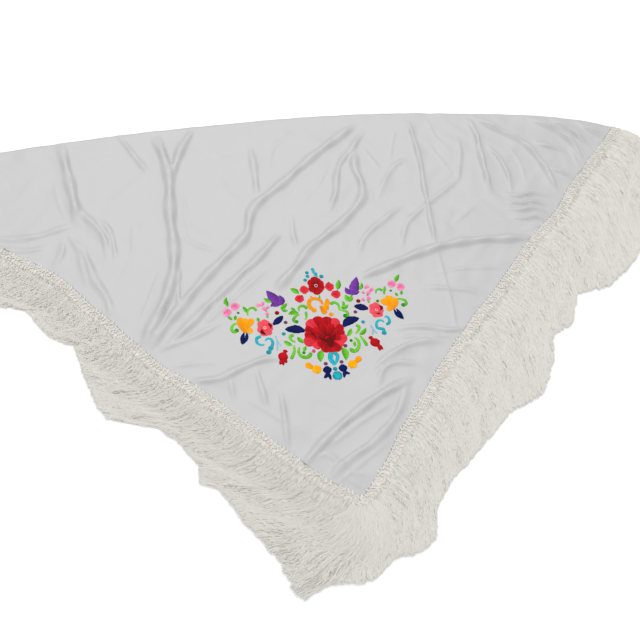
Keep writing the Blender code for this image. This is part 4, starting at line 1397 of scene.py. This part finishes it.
@dataclass
class Embroidery:
    """The flower spray in satin stitch, each stroke a low closed ridge of thread on the cloth.

    Stitch lengths are in centimetres, widths and heights in millimetres, turns in radians, and the
    rest are shares and powers.
    """

    cloth: Cloth
    stitch: float = 0.065
    long_stitch: float = 0.15
    fuller: float = 1.14
    spare: float = 0.7
    uneven: float = 0.05
    crown: float = 0.55
    crown_rise: float = 0.03
    crown_limit: float = 12.0
    cross_power: float = 2.4
    long_power: float = 4.0
    vein_width: float = 0.22
    ridge: float = 0.07
    ridge_reach: float = 0.95
    end_rise: float = 1.6
    foot: float = 0.96
    sunk: float = 0.25
    layer_rise: float = 0.34
    cross_blend: float = 0.45
    long_blend: float = 0.75
    rim_blend: float = 0.25
    vein_side: float = 0.7
    blend_noise: float = 0.22
    tone: float = 0.10
    heart: float = 1.3
    petal_start: float = 0.1
    petal_turn: float = 0.35
    petal_sway: float = 0.12
    sway_pace: float = 2.3
    petal_longer: float = 0.07
    longer_pace: float = 4.1
    longer_phase: float = 1.0
    eye_points: int = 10
    eye_width: float = 0.4
    seed: int = 5

    def __post_init__(self) -> None:
        """Starts with no thread laid."""
        self.rng = np.random.default_rng(self.seed)
        self.points: list[np.ndarray] = []
        self.colours: list[np.ndarray] = []
        self.faces: list[tuple[int, ...]] = []
        self.count = 0

    def heights(self, lay: Lay, width: float, half: np.ndarray) -> np.ndarray:
        """Heights of a stroke's upper side: arched across, low at both ends and ridged by its stitches.

        Args:
            lay: How its stitches are laid.
            width: Its full width in millimetres.
            half: Half its width at each step along it.

        Returns:
            The heights in millimetres, a row for each step.
        """
        across = np.linspace(-1.0, 1.0, lay.columns)
        crown = self.crown + self.crown_rise * min(width, self.crown_limit)
        arch = crown * (1 - np.abs(across) ** (self.long_power if lay.lengthwise else self.cross_power))
        arch -= lay.vein * np.exp(-((across / self.vein_width) ** 2))
        low = np.minimum(1.0, half / half.max() * self.end_rise)
        stitches = alternate(lay.columns)[None, :] if lay.lengthwise else alternate(len(half))[:, None]
        ridges = self.ridge * stitches * (np.abs(across) < self.ridge_reach)
        return np.maximum(arch[None, :] * low[:, None] + ridges, 0.0)

    def shades(self, lay: Lay, threads: tuple[Thread, Thread], count: int, spots: np.ndarray) -> np.ndarray:
        """Colours of a stroke, blended from one thread to the other and a little uneven.

        Args:
            lay: How its stitches are laid.
            threads: Its first and last shade.
            count: Number of steps along it.
            spots: Places across it, from -1 to 1.

        Returns:
            A linear colour for each step and spot.
        """
        first, last = (thread.linear() for thread in threads)
        share = np.linspace(0.0, 1.0, count)[:, None]
        if lay.vein:
            blend = 0.5 + 0.5 * spots * np.where(spots > 0, 1.0, self.vein_side)
        else:
            along = self.long_blend if lay.lengthwise else self.cross_blend
            blend = share * along + self.rim_blend * np.abs(spots)
        stitches = len(spots) if lay.lengthwise else count
        noise = self.rng.uniform(-self.blend_noise, self.blend_noise, stitches)
        blend = np.clip(blend + (noise if lay.lengthwise else noise[:, None]), 0.0, 1.0)
        shade = 1 + self.tone * self.rng.uniform(-1.0, 1.0)
        return np.clip((first + (last - first) * blend[:, :, None]) * shade, 0.0, 1.0)

    def stroke(
        self, lay: Lay, threads: tuple[Thread, Thread], layer: int, width: float, line: Sequence[Plan]
    ) -> None:
        """Lays one closed stroke of stitches on the cloth.

        Args:
            lay: How its stitches are laid.
            threads: Its first and last shade.
            layer: How many strokes it lies on.
            width: Its full width in millimetres.
            line: The points of its middle line. A single point makes a dot.
        """
        width = width * self.fuller + self.spare
        reach = 0.5 * width * MM / CM
        if len(line) == 1:
            x, y = line[0]
            line = ((x - reach, y), (x + reach, y))
        centre = np.array(curve_through(line, self.long_stitch if lay.lengthwise else self.stitch))
        ahead = np.gradient(centre, axis=0)
        ahead /= np.hypot(*ahead.T)[:, None]
        aside = np.column_stack((-ahead[:, 1], ahead[:, 0]))
        count = len(centre)
        half = reach * np.interp(np.linspace(0.0, 1.0, count), *np.array(lay.widths).T)
        if not lay.lengthwise:
            half = half * self.rng.uniform(1 - self.uneven, 1 + self.uneven, count)

        spots = np.concatenate((np.linspace(-1.0, 1.0, lay.columns), (self.foot, -self.foot)))
        sunk = np.full((count, 2), -self.sunk)
        raised = self.heights(lay, width, half) + layer * self.layer_rise
        plan = centre[:, None, :] + aside[:, None, :] * (half[:, None] * spots[None, :])[:, :, None]
        plan = plan.reshape(-1, 2)
        tall = (self.cloth.top(plan) + np.concatenate((raised, sunk), axis=1).ravel()) * MM
        self.points.append(np.column_stack((plan * CM, tall)))
        self.colours.append(self.shades(lay, threads, count, spots).reshape(-1, 3))

        ring = len(spots)
        start, last = self.count, self.count + (count - 1) * ring
        for row in range(start, last, ring):
            for column in range(ring):
                here, beside = row + column, row + (column + 1) % ring
                self.faces.append((beside, here, here + ring, beside + ring))
        self.faces.append(tuple(range(start, start + ring)))
        self.faces.append(tuple(range(last + ring - 1, last - 1, -1)))
        self.count += count * ring

    def bloom(self, flower: Bloom) -> None:
        """Works one round flower: its petals, and a pale ring round its eye if it has one.

        Args:
            flower: The flower.
        """
        centre, reach = np.array(flower.centre), np.array(flower.reach)
        threads = (flower.first, flower.last)

        def place(turn: float, share: np.ndarray | float) -> Plan:
            """The place at a turn and a share of the way out."""
            return tuple(centre + share * np.array((math.cos(turn), math.sin(turn))))

        self.stroke(Form.DOT.value, threads, 0, self.heart * min(flower.reach) * CM / MM, (flower.centre,))
        for number in range(flower.petals):
            turn = self.petal_turn + self.petal_sway * math.sin(self.sway_pace * number)
            turn += 2 * math.pi * number / flower.petals
            longer = 1 + self.petal_longer * math.sin(self.longer_pace * number + self.longer_phase)
            line = [place(turn, share * reach) for share in (self.petal_start, longer)]
            self.stroke(Form.PETAL.value, threads, number % 2, flower.width, line)
        if flower.eye:
            turns = np.linspace(0.0, 2 * math.pi, self.eye_points)
            ring = [place(turn, flower.eye * MM / CM) for turn in turns]
            self.stroke(Form.CORD.value, (Thread.PEARL, Thread.PEARL), 2, self.eye_width, ring)

    def build(self, finish: Material) -> Object:
        """Works the whole spray.

        Args:
            finish: The thread.

        Returns:
            The embroidery.
        """
        for motif in MOTIFS:
            for width, *line in motif.rows:
                self.stroke(motif.form.value, (motif.first, motif.last), motif.layer, width, line)
        for flower in BLOOMS:
            self.bloom(flower)
        piece = new_piece("embroidery", np.concatenate(self.points), self.faces, finish)
        colours = np.concatenate(self.colours)
        layer = piece.data.color_attributes.new("thread", "FLOAT_COLOR", "POINT")
        layer.data.foreach_set("color", np.column_stack((colours, np.ones(len(colours)))).ravel())
        return piece


class Draw(IntEnum):
    """Numbers of the fringe's random draws, which keep them apart."""

    START = 1
    WISP_DRIFT = 2
    LOCK_TURN = 4
    SHORTER = 5
    WISP_SHORTER = 7
    LOCK_HEIGHT = 8
    LAYER = 9
    CRIMP_PACE = 10
    CRIMP_PHASE = 11
    TONE = 12
    WISP = 13
    STRAY = 14
    WISP_LAYER = 15
    STRAND_PHASE = 16
    CRIMP_SIZE = 17
    WISP_TONE = 18
    ROOT = 19


@dataclass
class Fringe:
    """Loose strands of yarn below a heading: waved, gathered in locks and swept round on the surface.

    Lengths are in centimetres, heights and radii in millimetres, and turns in degrees. The rest are
    shares, powers and phases, and a pace is how many times over something is done by a strand's end.
    """

    outline: Outline
    step: float = 0.5
    longest: float = 30.0
    shortest: float = 3.5
    turn_length: float = 9.0
    wave_swing: float = 11.0
    wave_length: float = 7.5
    wave_drift: float = 17.0
    root_inset: float = 1.7
    row_pitch: float = 0.62
    closer: float = 3.0
    columns: int = 26
    strands: int = 1400
    points: int = 18
    thread: float = 0.72
    sides: int = 3
    root_height: float = 3.7
    pile_height: float = 4.0
    end_height: float = 2.4
    mat_share: float = 0.58
    mat_reach: Range = (0.07, 0.95)
    mat_columns: int = 15
    mat_low: float = 0.2
    mat_lump: float = 0.14
    lump_turn: float = 1.9
    lump_run: float = 5.0
    lump_drift: float = 0.7
    wisps: float = 3.0
    lock_uneven: float = 0.5
    lock_bend: float = 0.31
    drift_pace: float = 1.5
    gather_pace: float = 1.6
    swing_pace: float = 2.4
    last_cell: float = 1.001
    short_power: float = 2.0
    wisp_shorter: float = 0.6
    pile_start: float = 0.08
    lock_heights: Range = (0.7, 1.0)
    wisp_layer: float = 0.25
    crimp_paces: Range = (0.7, 1.35)
    crimp_sizes: Range = (0.35, 1.0)
    crimp_start: float = 9.0
    crimp_lag: float = 1.4
    crimp_lift: float = 0.16
    strand_phase: float = 0.4
    wisp_tone: float = 0.4
    thinner: float = 0.3
    seed: int = 11

    def path(self, station: Station, side: Side) -> list[Vector]:
        """The line that the strands follow from a place on the heading.

        Args:
            station: The place.
            side: Which short edge.

        Returns:
            Points at equal steps: straight out, then turned clockwise, in soft waves.
        """
        sweep = looked_up(SWEEP[side], station.along)
        phase = side.turn * station.along / self.wave_drift
        here = station.out(self.outline.heading_width - self.root_inset)
        found = [here]
        for number in range(int(self.longest / self.step)):
            length = (number + 0.5) * self.step
            wave = math.sin(2 * math.pi * (length / self.wave_length + phase))
            wave *= min(1.0, length / self.wave_length)
            turned = sweep * smooth(length / self.turn_length) + self.wave_swing * wave
            heading = station.angle - math.radians(turned)
            here = here + self.step * direction(heading)
            found.append(here)
        return found

    def reach(self, path: Sequence[Vector]) -> float:
        """Length of a path up to where the fringe ends.

        Args:
            path: The path's points.

        Returns:
            The length, between the shortest and the longest strand.
        """
        for number, here in enumerate(path):
            if number * self.step > self.shortest and not inside(HEM, here):
                return number * self.step
        return self.longest

    def spots(self, station: Station, side: Side, count: int, reach: Range) -> list[tuple[float, Vector]]:
        """Even spots along one path.

        Args:
            station: Where the path starts.
            side: Which short edge.
            count: Number of spots.
            reach: The shares of the way to the fringe's end at the first and the last of them.

        Returns:
            The length along the path and the place of each.
        """
        path = self.path(station, side)
        steps = self.reach(path) / self.step
        found = []
        for share in np.linspace(*reach, count):
            place = steps * float(share)
            index = min(len(path) - 2, int(place))
            found.append((place * self.step, path[index].lerp(path[index + 1], place - index)))
        return found

    def mat(self, side: Side, finish: Material) -> Object:
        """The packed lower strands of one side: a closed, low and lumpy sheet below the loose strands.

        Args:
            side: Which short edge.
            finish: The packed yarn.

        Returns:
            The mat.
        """
        pitch, columns = 2 * self.row_pitch, self.mat_columns
        stations = self.outline.stations(side, pitch, self.closer)[:: int(side.turn)]
        high, net = [], []
        for row, station in enumerate(stations):
            for column, (run, place) in enumerate(self.spots(station, side, columns, self.mat_reach)):
                share = column / (columns - 1)
                rise = self.root_height + (self.pile_height - self.root_height) * math.sin(math.pi * share)
                rise += (self.end_height - self.root_height) * smooth(share)
                turn = self.lump_turn * row + self.lump_run * share + math.sin(self.lump_drift * row)
                rise *= 1 + self.mat_lump * math.sin(turn)
                high.append((place.x * CM, place.y * CM, self.mat_share * rise * MM))
                net.append((row * pitch * CM, run * CM, 0.0))
        low = [(x, y, self.mat_low * MM) for x, y, _ in high]
        rows, count = len(stations), len(high)
        upper = [
            (k, k + 1, k + 1 + columns, k + columns)
            for row in range(rows - 1)
            for k in range(row * columns, row * columns + columns - 1)
        ]
        rim = [*range(columns), *range(2 * columns - 1, count, columns)]
        rim += [*range(count - 2, count - columns - 1, -1), *range(count - 2 * columns, 0, -columns)]
        wall = [(b, a, a + count, b + count) for a, b in zip(rim, rim[1:] + rim[:1])]
        lower = [tuple(count + k for k in reversed(face)) for face in upper]
        piece = new_piece(f"packed_{side.value}", high + low, upper + lower + wall, finish)
        layer = piece.data.attributes.new("net", "FLOAT_VECTOR", "POINT")
        layer.data.foreach_set("vector", np.array(net + net).ravel())
        return piece

    def fan(self, name: str, side: Side, stations: Sequence[Station]) -> Object:
        """A net of points over one stretch of fringe: a row for each station, from root to end.

        Args:
            name: The piece's name.
            side: Which short edge.
            stations: The stretch's places on the heading.

        Returns:
            The net, which the strands are drawn on.
        """
        spots = [spot for s in stations for spot in self.spots(s, side, self.columns, (0.0, 1.0))]
        return new_piece(name, [(place.x * CM, place.y * CM, 0.0) for _, place in spots])

    @staticmethod
    def sampled(tree: GeometryTree, columns: Expr, across: Expr, down: Expr) -> Expr:
        """A place on the net, between the four points round it.

        Args:
            tree: The strands' tree, whose geometry is the net.
            columns: The net's points in a row.
            across: Where to read the net, in rows.
            down: Where to read the net, in columns.

        Returns:
            The place.
        """
        position = tree.node("GeometryNodeInputPosition")
        row, column = across.floor(), down.floor()
        corners = [
            tree.node(
                "GeometryNodeSampleIndex",
                {"data_type": "FLOAT_VECTOR", "domain": "POINT"},
                {"Geometry": tree.geometry, "Value": position, "Index": (row + a) * columns + (column + b)},
            )
            for a, b in ((0.0, 0.0), (0.0, 1.0), (1.0, 0.0), (1.0, 1.0))
        ]
        sides = [tree.mix(down - column, a, b, "VECTOR") for a, b in (corners[:2], corners[2:])]
        return tree.mix(across - row, *sides, "VECTOR")

    def tree(self) -> GeometryTree:
        """The tree that draws waved strands over a net of points.

        Returns:
            The tree, ready to apply.
        """
        tree = GeometryTree("strands of fringe")
        rows, columns = tree.given("Rows", 2), tree.given("Columns", self.columns)
        strands, points = tree.given("Strands", self.strands), tree.given("Points", self.points)
        thread = tree.given("Thread radius", self.thread * MM)
        root = tree.given("Root height", self.root_height * MM)
        pile = tree.given("Pile height", self.pile_height * MM)
        last = tree.given("End height", self.end_height * MM)
        packed = tree.given("Packed share", self.mat_share)
        gather, lock = tree.given("Gather", 0.10), tree.given("Rows in a lock", 3.6)
        wisp, drift = tree.given("Rows in a wisp", 0.85), tree.given("Drift in rows", 2.0)
        stray = tree.given("Stray in rows", 3.6)
        swing, uneven = tree.given("Swing in rows", 0.55), tree.given("Uneven length", 0.045)
        crimp, crimp_length = tree.given("Crimp", 0.0027), tree.given("Crimp length", 0.019)
        plump, scatter = tree.given("Plumper below", 1.2), tree.given("Root scatter in columns", 1.9)

        line = tree.node("GeometryNodeCurvePrimitiveLine", None, {"End": (1.0, 0.0, 0.0)})
        line = tree.node("GeometryNodeResampleCurve", {"mode": "COUNT"}, {"Curve": line, "Count": points})
        spots = tree.node("GeometryNodePoints", None, {"Count": strands})
        lines = tree.node("GeometryNodeInstanceOnPoints", None, {"Points": spots, "Instance": line})
        lines = tree.node("GeometryNodeRealizeInstances", None, {"Geometry": lines})
        index = tree.node("GeometryNodeInputIndex")
        number = tree.node("GeometryNodeFieldOnDomain", {"domain": "CURVE", "data_type": "INT"}, {0: index})
        share = tree.node("GeometryNodeSplineParameter", None, None, "Factor")

        # Where each strand starts, and how it drifts towards its wisp, its lock and its stray way.
        start = (number + tree.random(number, Draw.START)) / strands * (rows - 1.0)
        wisp_number = (start / wisp).floor() * self.wisps
        wisp_number = wisp_number + (tree.random(number, Draw.WISP) * self.wisps).floor()
        lock_number = (start / lock + self.lock_uneven * (start * self.lock_bend).sine()).floor()
        wandered = (tree.random(wisp_number, Draw.WISP_DRIFT) - 0.5) * drift
        wandered = wandered + (tree.random(number, Draw.STRAY) - 0.5) * stray
        drifted = start + wandered * (share * self.drift_pace).smooth()
        off = drifted - (lock_number + 0.5) * lock
        swung = (share * self.swing_pace + tree.random(lock_number, Draw.LOCK_TURN)) * (2 * math.pi)
        gathered = drifted - off * gather * (share * self.gather_pace).smooth()
        across = (gathered + swung.sine() * swing * share.smooth()).held(0.0, rows - self.last_cell)
        shorter = tree.random(number, Draw.SHORTER) ** self.short_power
        shorter = shorter + tree.random(wisp_number, Draw.WISP_SHORTER) * self.wisp_shorter
        root_place = tree.random(number, Draw.ROOT) * scatter
        down = root_place + share * ((1.0 - uneven * shorter) * (columns - 1.0) - root_place)
        plan = self.sampled(tree, columns, across, down.held(0.0, columns - self.last_cell))

        # How high it lies in the pile.
        rise = ((share * (1 - self.pile_start) + self.pile_start).held(0.0, 1.0) * math.pi).sine()
        rise = rise * tree.random(lock_number, Draw.LOCK_HEIGHT, *self.lock_heights)
        top = root + (pile - root) * rise + (last - root) * share.smooth()
        loose = tree.random(number, Draw.LAYER) * (1 - self.wisp_layer)
        loose = loose + tree.random(wisp_number, Draw.WISP_LAYER) * self.wisp_layer
        layer = packed + (1.0 - packed) * loose
        laid = tree.move(lines, Position=tree.vector("ADD", plan, tree.from_parts(Z=thread + top * layer)))

        # Its crimp, sideways and a little up.
        tangent = tree.node("GeometryNodeInputTangent")
        aside = tree.vector("NORMALIZE", tree.vector("CROSS_PRODUCT", tangent, (0.0, 0.0, 1.0)))
        run = tree.node("GeometryNodeSplineParameter", None, None, "Length")
        pace = run / crimp_length * tree.random(wisp_number, Draw.CRIMP_PACE, *self.crimp_paces)
        pace = pace + tree.random(wisp_number, Draw.CRIMP_PHASE)
        pace = (pace + tree.random(number, Draw.STRAND_PHASE) * self.strand_phase) * (2 * math.pi)
        swell = crimp * (share * self.crimp_start).smooth()
        swell = swell * tree.random(wisp_number, Draw.CRIMP_SIZE, *self.crimp_sizes)
        sway = tree.node(
            "ShaderNodeVectorMath", {"operation": "SCALE"}, {"Vector": aside, "Scale": pace.sine() * swell}
        )
        lifted = tree.from_parts(Z=((pace + self.crimp_lag).sine() + 1.0) * swell * self.crimp_lift)
        waved = tree.move(laid, Offset=tree.vector("ADD", sway, lifted))

        tone = tree.random(number, Draw.TONE) * (1 - self.wisp_tone)
        tone = tone + tree.random(wisp_number, Draw.WISP_TONE) * self.wisp_tone
        toned = tree.store(tree.store(waved, "tone", tone), "run", run)
        thickness = (1.0 - share * share * self.thinner) * (1.0 + (1.0 - layer) * plump)
        thinned = tree.node("GeometryNodeSetCurveRadius", None, {"Curve": toned, "Radius": thickness})
        tree.close(tree.tube(thinned, thread, self.sides))
        return tree

    def build(self, finish: Material) -> dict[Side, list[Object]]:
        """Makes the strands of both sides, each side in two stretches.

        Args:
            finish: The yarn.

        Returns:
            The stretches of each side.
        """
        tree = self.tree()
        made = {}
        for side in Side:
            stations = self.outline.stations(side, self.row_pitch, self.closer)
            half = len(stations) // 2
            made[side] = []
            parts = (("point", stations[: half + 1]), ("corner", stations[half:]))
            for seed, (part, stretch) in enumerate(parts, self.seed + 2 * int(side.turn)):
                piece = self.fan(f"strands_{side.value}_{part}", side, stretch)
                tree.apply(piece, {"Rows": len(stretch), "Finish": finish, "Seed": seed})
                made[side].append(piece)
        return made


class StitchRow(NamedTuple):
    """A row of paired stitches along the heading. Sizes are in millimetres but for the way out."""

    out: float
    pitch: float
    half_long: float
    half_wide: float
    half_high: float
    apart: Plan
    lean: float
    lift: float


STITCH_ROWS = tuple(StitchRow(*row) for row in (
    (0.04, 8.1, 3.2, 1.3, 1.3, (0, 1.8), 62, 2.3),
    (0.62, 6.4, 2.9, 1.3, 1.4, (0, 1.6), 36, 2.4),
    (1.2, 6.9, 3, 1.3, 1.4, (0, 1.7), -44, 2.5),
    (1.8, 6.1, 3.1, 1.3, 1.3, (1.4, 0), 76, 2.4),
    (2.4, 6.7, 2.9, 1.3, 1.4, (0, 1.7), 42, 2.5),
    (3, 6.5, 3.1, 1.4, 1.4, (0, 1.9), -42, 2.6),
))


@dataclass
class Heading:
    """The knotted heading that the fringe hangs from: a backing tape, an edge cord and loose stitches. Its
    yarn is painted darker the lower it lies, as painted shade.

    Places across the heading are in centimetres, heights, radii and slack in millimetres, and turns in
    radians. Each of slack_draws holds an axis, its first random draw and its share of the slack.
    """

    outline: Outline
    pitch: float = 0.5
    tape_inner: float = 0.075
    tape_inset: float = 0.025
    tape_top: float = 1.5
    tape_low: float = 0.1
    cord_out: float = 0.08
    cord_radius: float = 1.1
    cord_lift: float = 1.4
    cord_sides: int = 6
    # Height up to which the heading's yarn is painted darker: painted shade on the tape and the low
    # stitches.
    painted_shade_top: float = 2.8
    tone_draw: int = 20
    slack: float = 1.4
    slack_draws: tuple[tuple[str, int, float], ...] = (("X", 30, 1.0), ("Y", 40, 1.0), ("Z", 50, 0.4))
    turned: float = 0.7
    turned_draw: int = 60
    bead: tuple[int, int] = (6, 4)
    bead_sizes: Range = (0.7, 1.2)
    tones: Range = (0.55, 0.95)
    seed: int = 3

    def path(self, name: str, stations: Sequence[Station]) -> Object:
        """The cloth's edge as a line, with the way out at each point.

        Args:
            name: The piece's name.
            stations: Places along the heading.

        Returns:
            The line.
        """
        points = [(s.edge.x * CM, s.edge.y * CM, 0.0) for s in stations]
        piece = new_piece(name, points, edges=[(k, k + 1) for k in range(len(points) - 1)])
        way = piece.data.attributes.new("out", "FLOAT_VECTOR", "POINT")
        for item, station in zip(way.data, stations):
            item.vector = (*direction(station.angle), 0.0)
        return piece

    @staticmethod
    def shifted(tree: GeometryTree, curve: Expr, out: float, lift: float) -> Expr:
        """The cloth's edge, moved.

        Args:
            tree: The heading's tree.
            curve: The edge.
            out: How far outwards, in centimetres.
            lift: How far up, in millimetres.

        Returns:
            The moved curve.
        """
        way = tree.node(
            "GeometryNodeInputNamedAttribute", {"data_type": "FLOAT_VECTOR"}, {"Name": "out"}, "Attribute"
        )
        offset = tree.vector("MULTIPLY_ADD", way, (out * CM, out * CM, 0.0), (0.0, 0.0, lift * MM))
        return tree.move(curve, Offset=offset)

    def stitches(self, tree: GeometryTree, curve: Expr, row: StitchRow, draw: int) -> Expr:
        """One row of paired stitches.

        Args:
            tree: The heading's tree.
            curve: The cloth's edge.
            row: The row's sizes.
            draw: Number of its first random draw.

        Returns:
            The stitches.
        """
        line = tree.node(
            "GeometryNodeResampleCurve",
            {"mode": "LENGTH"},
            {"Curve": self.shifted(tree, curve, row.out, row.lift), "Length": row.pitch * MM},
        )
        segments, rings = self.bead
        bead = {"Segments": segments, "Rings": rings, "Radius": 1.0}
        bead = tree.node("GeometryNodeMeshUVSphere", None, bead)
        pair = [
            tree.node(
                "GeometryNodeTransform",
                None,
                {
                    "Geometry": bead,
                    "Translation": (sign * row.apart[0] * MM, sign * row.apart[1] * MM, 0.0),
                    "Rotation": (0.0, 0.0, sign * math.radians(row.lean)),
                    "Scale": (row.half_long * MM, row.half_wide * MM, row.half_high * MM),
                },
            )
            for sign in (-1.0, 1.0)
        ]
        index = tree.node("GeometryNodeInputIndex")
        facing = tree.node(
            "FunctionNodeAlignRotationToVector",
            {"axis": "X", "pivot_axis": "Z"},
            {"Vector": tree.node("GeometryNodeInputTangent")},
        )
        slack = {}
        for axis, first, share in self.slack_draws:
            reach = share * self.slack * MM
            slack[axis] = tree.random(index, draw + first, -reach, reach)
        turned = tree.random(index, draw + self.turned_draw, -self.turned, self.turned)
        placed = tree.node(
            "GeometryNodeInstanceOnPoints",
            None,
            {
                "Points": tree.move(line, Offset=tree.from_parts(**slack)),
                "Instance": tree.node("GeometryNodeJoinGeometry", None, {"Geometry": pair}),
                "Rotation": facing,
                "Scale": tree.random(index, draw, *self.bead_sizes),
            },
        )
        inputs = {"Instances": placed, "Rotation": tree.from_parts(Z=turned)}
        return tree.node("GeometryNodeRotateInstances", None, inputs)

    def tape(self, tree: GeometryTree, curve: Expr) -> Expr:
        """The flat backing tape under the stitches.

        Args:
            tree: The heading's tree.
            curve: The cloth's edge.

        Returns:
            The tape, a closed strip.
        """
        outer = self.outline.heading_width - self.tape_inset
        lift = 0.5 * (self.tape_low + self.tape_top)
        middle = self.shifted(tree, curve, 0.5 * (self.tape_inner + outer), lift)
        level = tree.node("GeometryNodeSetCurveNormal", {"mode": "Z_UP"}, {"Curve": middle})
        size = {"Width": (outer - self.tape_inner) * CM, "Height": (self.tape_top - self.tape_low) * MM}
        return tree.swept(level, tree.node("GeometryNodeCurvePrimitiveQuadrilateral", None, size))

    def tree(self) -> GeometryTree:
        """The tree that makes the heading along a line.

        Returns:
            The tree, ready to apply.
        """
        tree = GeometryTree("knotted heading")
        radius = tree.given("Cord radius", self.cord_radius * MM)
        full = tree.given("Painted shade top", self.painted_shade_top * MM)
        curve = tree.node("GeometryNodeMeshToCurve", None, {"Mesh": tree.geometry})
        rows = [self.stitches(tree, curve, row, draw) for draw, row in enumerate(STITCH_ROWS)]
        edge = self.shifted(tree, curve, self.cord_out, self.cord_lift)
        parts = [*rows, tree.tube(edge, radius, self.cord_sides), self.tape(tree, curve)]
        joined = tree.node("GeometryNodeJoinGeometry", None, {"Geometry": parts})
        real = tree.node("GeometryNodeRealizeInstances", None, {"Geometry": joined})
        # Painted shade: the tone grows with height up to the top of the painted shade, so the tape and the
        # low stitches are darker, times a random tone.
        place = tree.node("ShaderNodeSeparateXYZ", None, {"Vector": tree.node("GeometryNodeInputPosition")})
        raised = (place.output("Z") / full).held(0.0, 1.0)
        tone = raised * tree.random(tree.node("GeometryNodeInputIndex"), self.tone_draw, *self.tones)
        tree.close(tree.store(real, "tone", tone))
        return tree

    def build(self, finish: Material) -> dict[Side, Object]:
        """Makes both headings.

        Args:
            finish: The yarn.

        Returns:
            The heading of each side.
        """
        tree = self.tree()
        made = {}
        for side in Side:
            piece = self.path(f"heading_{side.value}", self.outline.stations(side, self.pitch))
            tree.apply(piece, {"Finish": finish, "Seed": self.seed})
            made[side] = piece
        return made


class AreaLight(NamedTuple):
    """A square soft light that faces the shawl: its name, power in watts, size and place in metres."""

    name: str
    power: float
    size: float
    place: tuple[float, float, float]


@dataclass(frozen=True)
class Studio:
    """A pale floor, two soft lights and a camera above the shawl."""

    azimuth: float = -23.2649
    elevation: float = 59.5274
    roll: float = 14.3079
    lens: float = 45.0
    sensor: float = 36.0
    farthest: float = 100.0
    distance: float = 1.4885
    target: tuple[float, float, float] = (-0.0055, 0.0011, 0.0)
    floor_size: float = 14.0
    floor_drop: float = 0.0004
    world_strength: float = 0.72
    lights: tuple[AreaLight, ...] = (
        AreaLight("softbox beyond", 90.0, 3.8, (0.40, 2.50, 3.8)),
        AreaLight("softbox at the left", 52.0, 2.4, (-1.90, -1.75, 3.4)),
    )

    def camera(self) -> None:
        """Sets up the camera, turned by the azimuth, the elevation and the roll in degrees."""
        turn, tilt, spin = (math.radians(angle) for angle in (self.azimuth, self.elevation, self.roll))
        back = Vector((math.sin(turn) * math.cos(tilt), -math.cos(turn) * math.cos(tilt), math.sin(tilt)))
        across = (-back).cross(Vector((0.0, 0.0, 1.0))).normalized()
        up = across.cross(-back)
        right = across * math.cos(spin) + up * math.sin(spin)
        top = up * math.cos(spin) - across * math.sin(spin)
        data = bpy.data.cameras.new("camera")
        data.lens = self.lens
        data.sensor_width = self.sensor
        data.clip_end = self.farthest
        camera = bpy.data.objects.new("camera", data)
        turned = Matrix((right, top, back)).transposed().to_4x4()
        camera.matrix_world = Matrix.Translation(Vector(self.target) + back * self.distance) @ turned
        bpy.context.scene.collection.objects.link(camera)
        bpy.context.scene.camera = camera

    def light(self) -> None:
        """Adds the soft lights and the even light of the room."""
        scene = bpy.context.scene
        for light in self.lights:
            data = bpy.data.lights.new(light.name, "AREA")
            data.energy = light.power
            data.size = light.size
            lamp = bpy.data.objects.new(light.name, data)
            lamp.location = light.place
            lamp.rotation_euler = Vector(light.place).to_track_quat("Z", "Y").to_euler()
            scene.collection.objects.link(lamp)
        world = bpy.data.worlds.new("studio")
        world.use_nodes = True
        background = world.node_tree.nodes["Background"]
        background.inputs["Color"].default_value = (1.0, 1.0, 1.0, 1.0)
        background.inputs["Strength"].default_value = self.world_strength
        scene.world = world
        scene.view_settings.view_transform = "Standard"

    def floor(self) -> Object:
        """Lays the floor just below the shawl.

        Returns:
            The floor.
        """
        half = self.floor_size / 2
        corners = ((-half, -half), (half, -half), (half, half), (-half, half))
        points = [(x, y, -self.floor_drop) for x, y in corners]
        floor = new_piece("floor", points, [(0, 1, 2, 3)], FloorFinish().material())
        return floor


def dress(piece: Object, node: str) -> Object:
    """Fixes a piece to the shawl.

    Args:
        piece: The piece.
        node: The solid that it stands for.

    Returns:
        The piece.
    """
    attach(piece, BODY)
    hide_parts(node)
    piece.data.calc_loop_triangles()
    log.info("%s: %d triangles", piece.name, len(piece.data.loop_triangles))
    return piece


def main() -> None:
    """Builds the shawl, piece by piece, in its studio."""
    logging.basicConfig(level=logging.INFO, format="%(name)s %(message)s")
    studio = Studio()
    studio.camera()
    studio.light()
    floor = studio.floor()

    outline = Outline()
    cloth = Cloth(outline, Drape())
    sheet = dress(cloth.build(CrepeFinish().material()), "cloth")
    trims = [dress(Embroidery(cloth).build(ThreadFinish().material()), "cloth")]

    heading, fringe = Heading(outline), Fringe(outline)
    headings = heading.build(HEADING_YARN.material())
    packed = PackedFinish().material()
    mats = {side: fringe.mat(side, packed) for side in Side}
    strands = fringe.build(FRINGE_YARN.material())
    for side in Side:
        for piece in (headings[side], mats[side], *strands[side]):
            trims.append(dress(piece, f"fringe_{side.value}"))

    width, depth, area = cloth.cut()


if __name__ == "__main__":
    main()
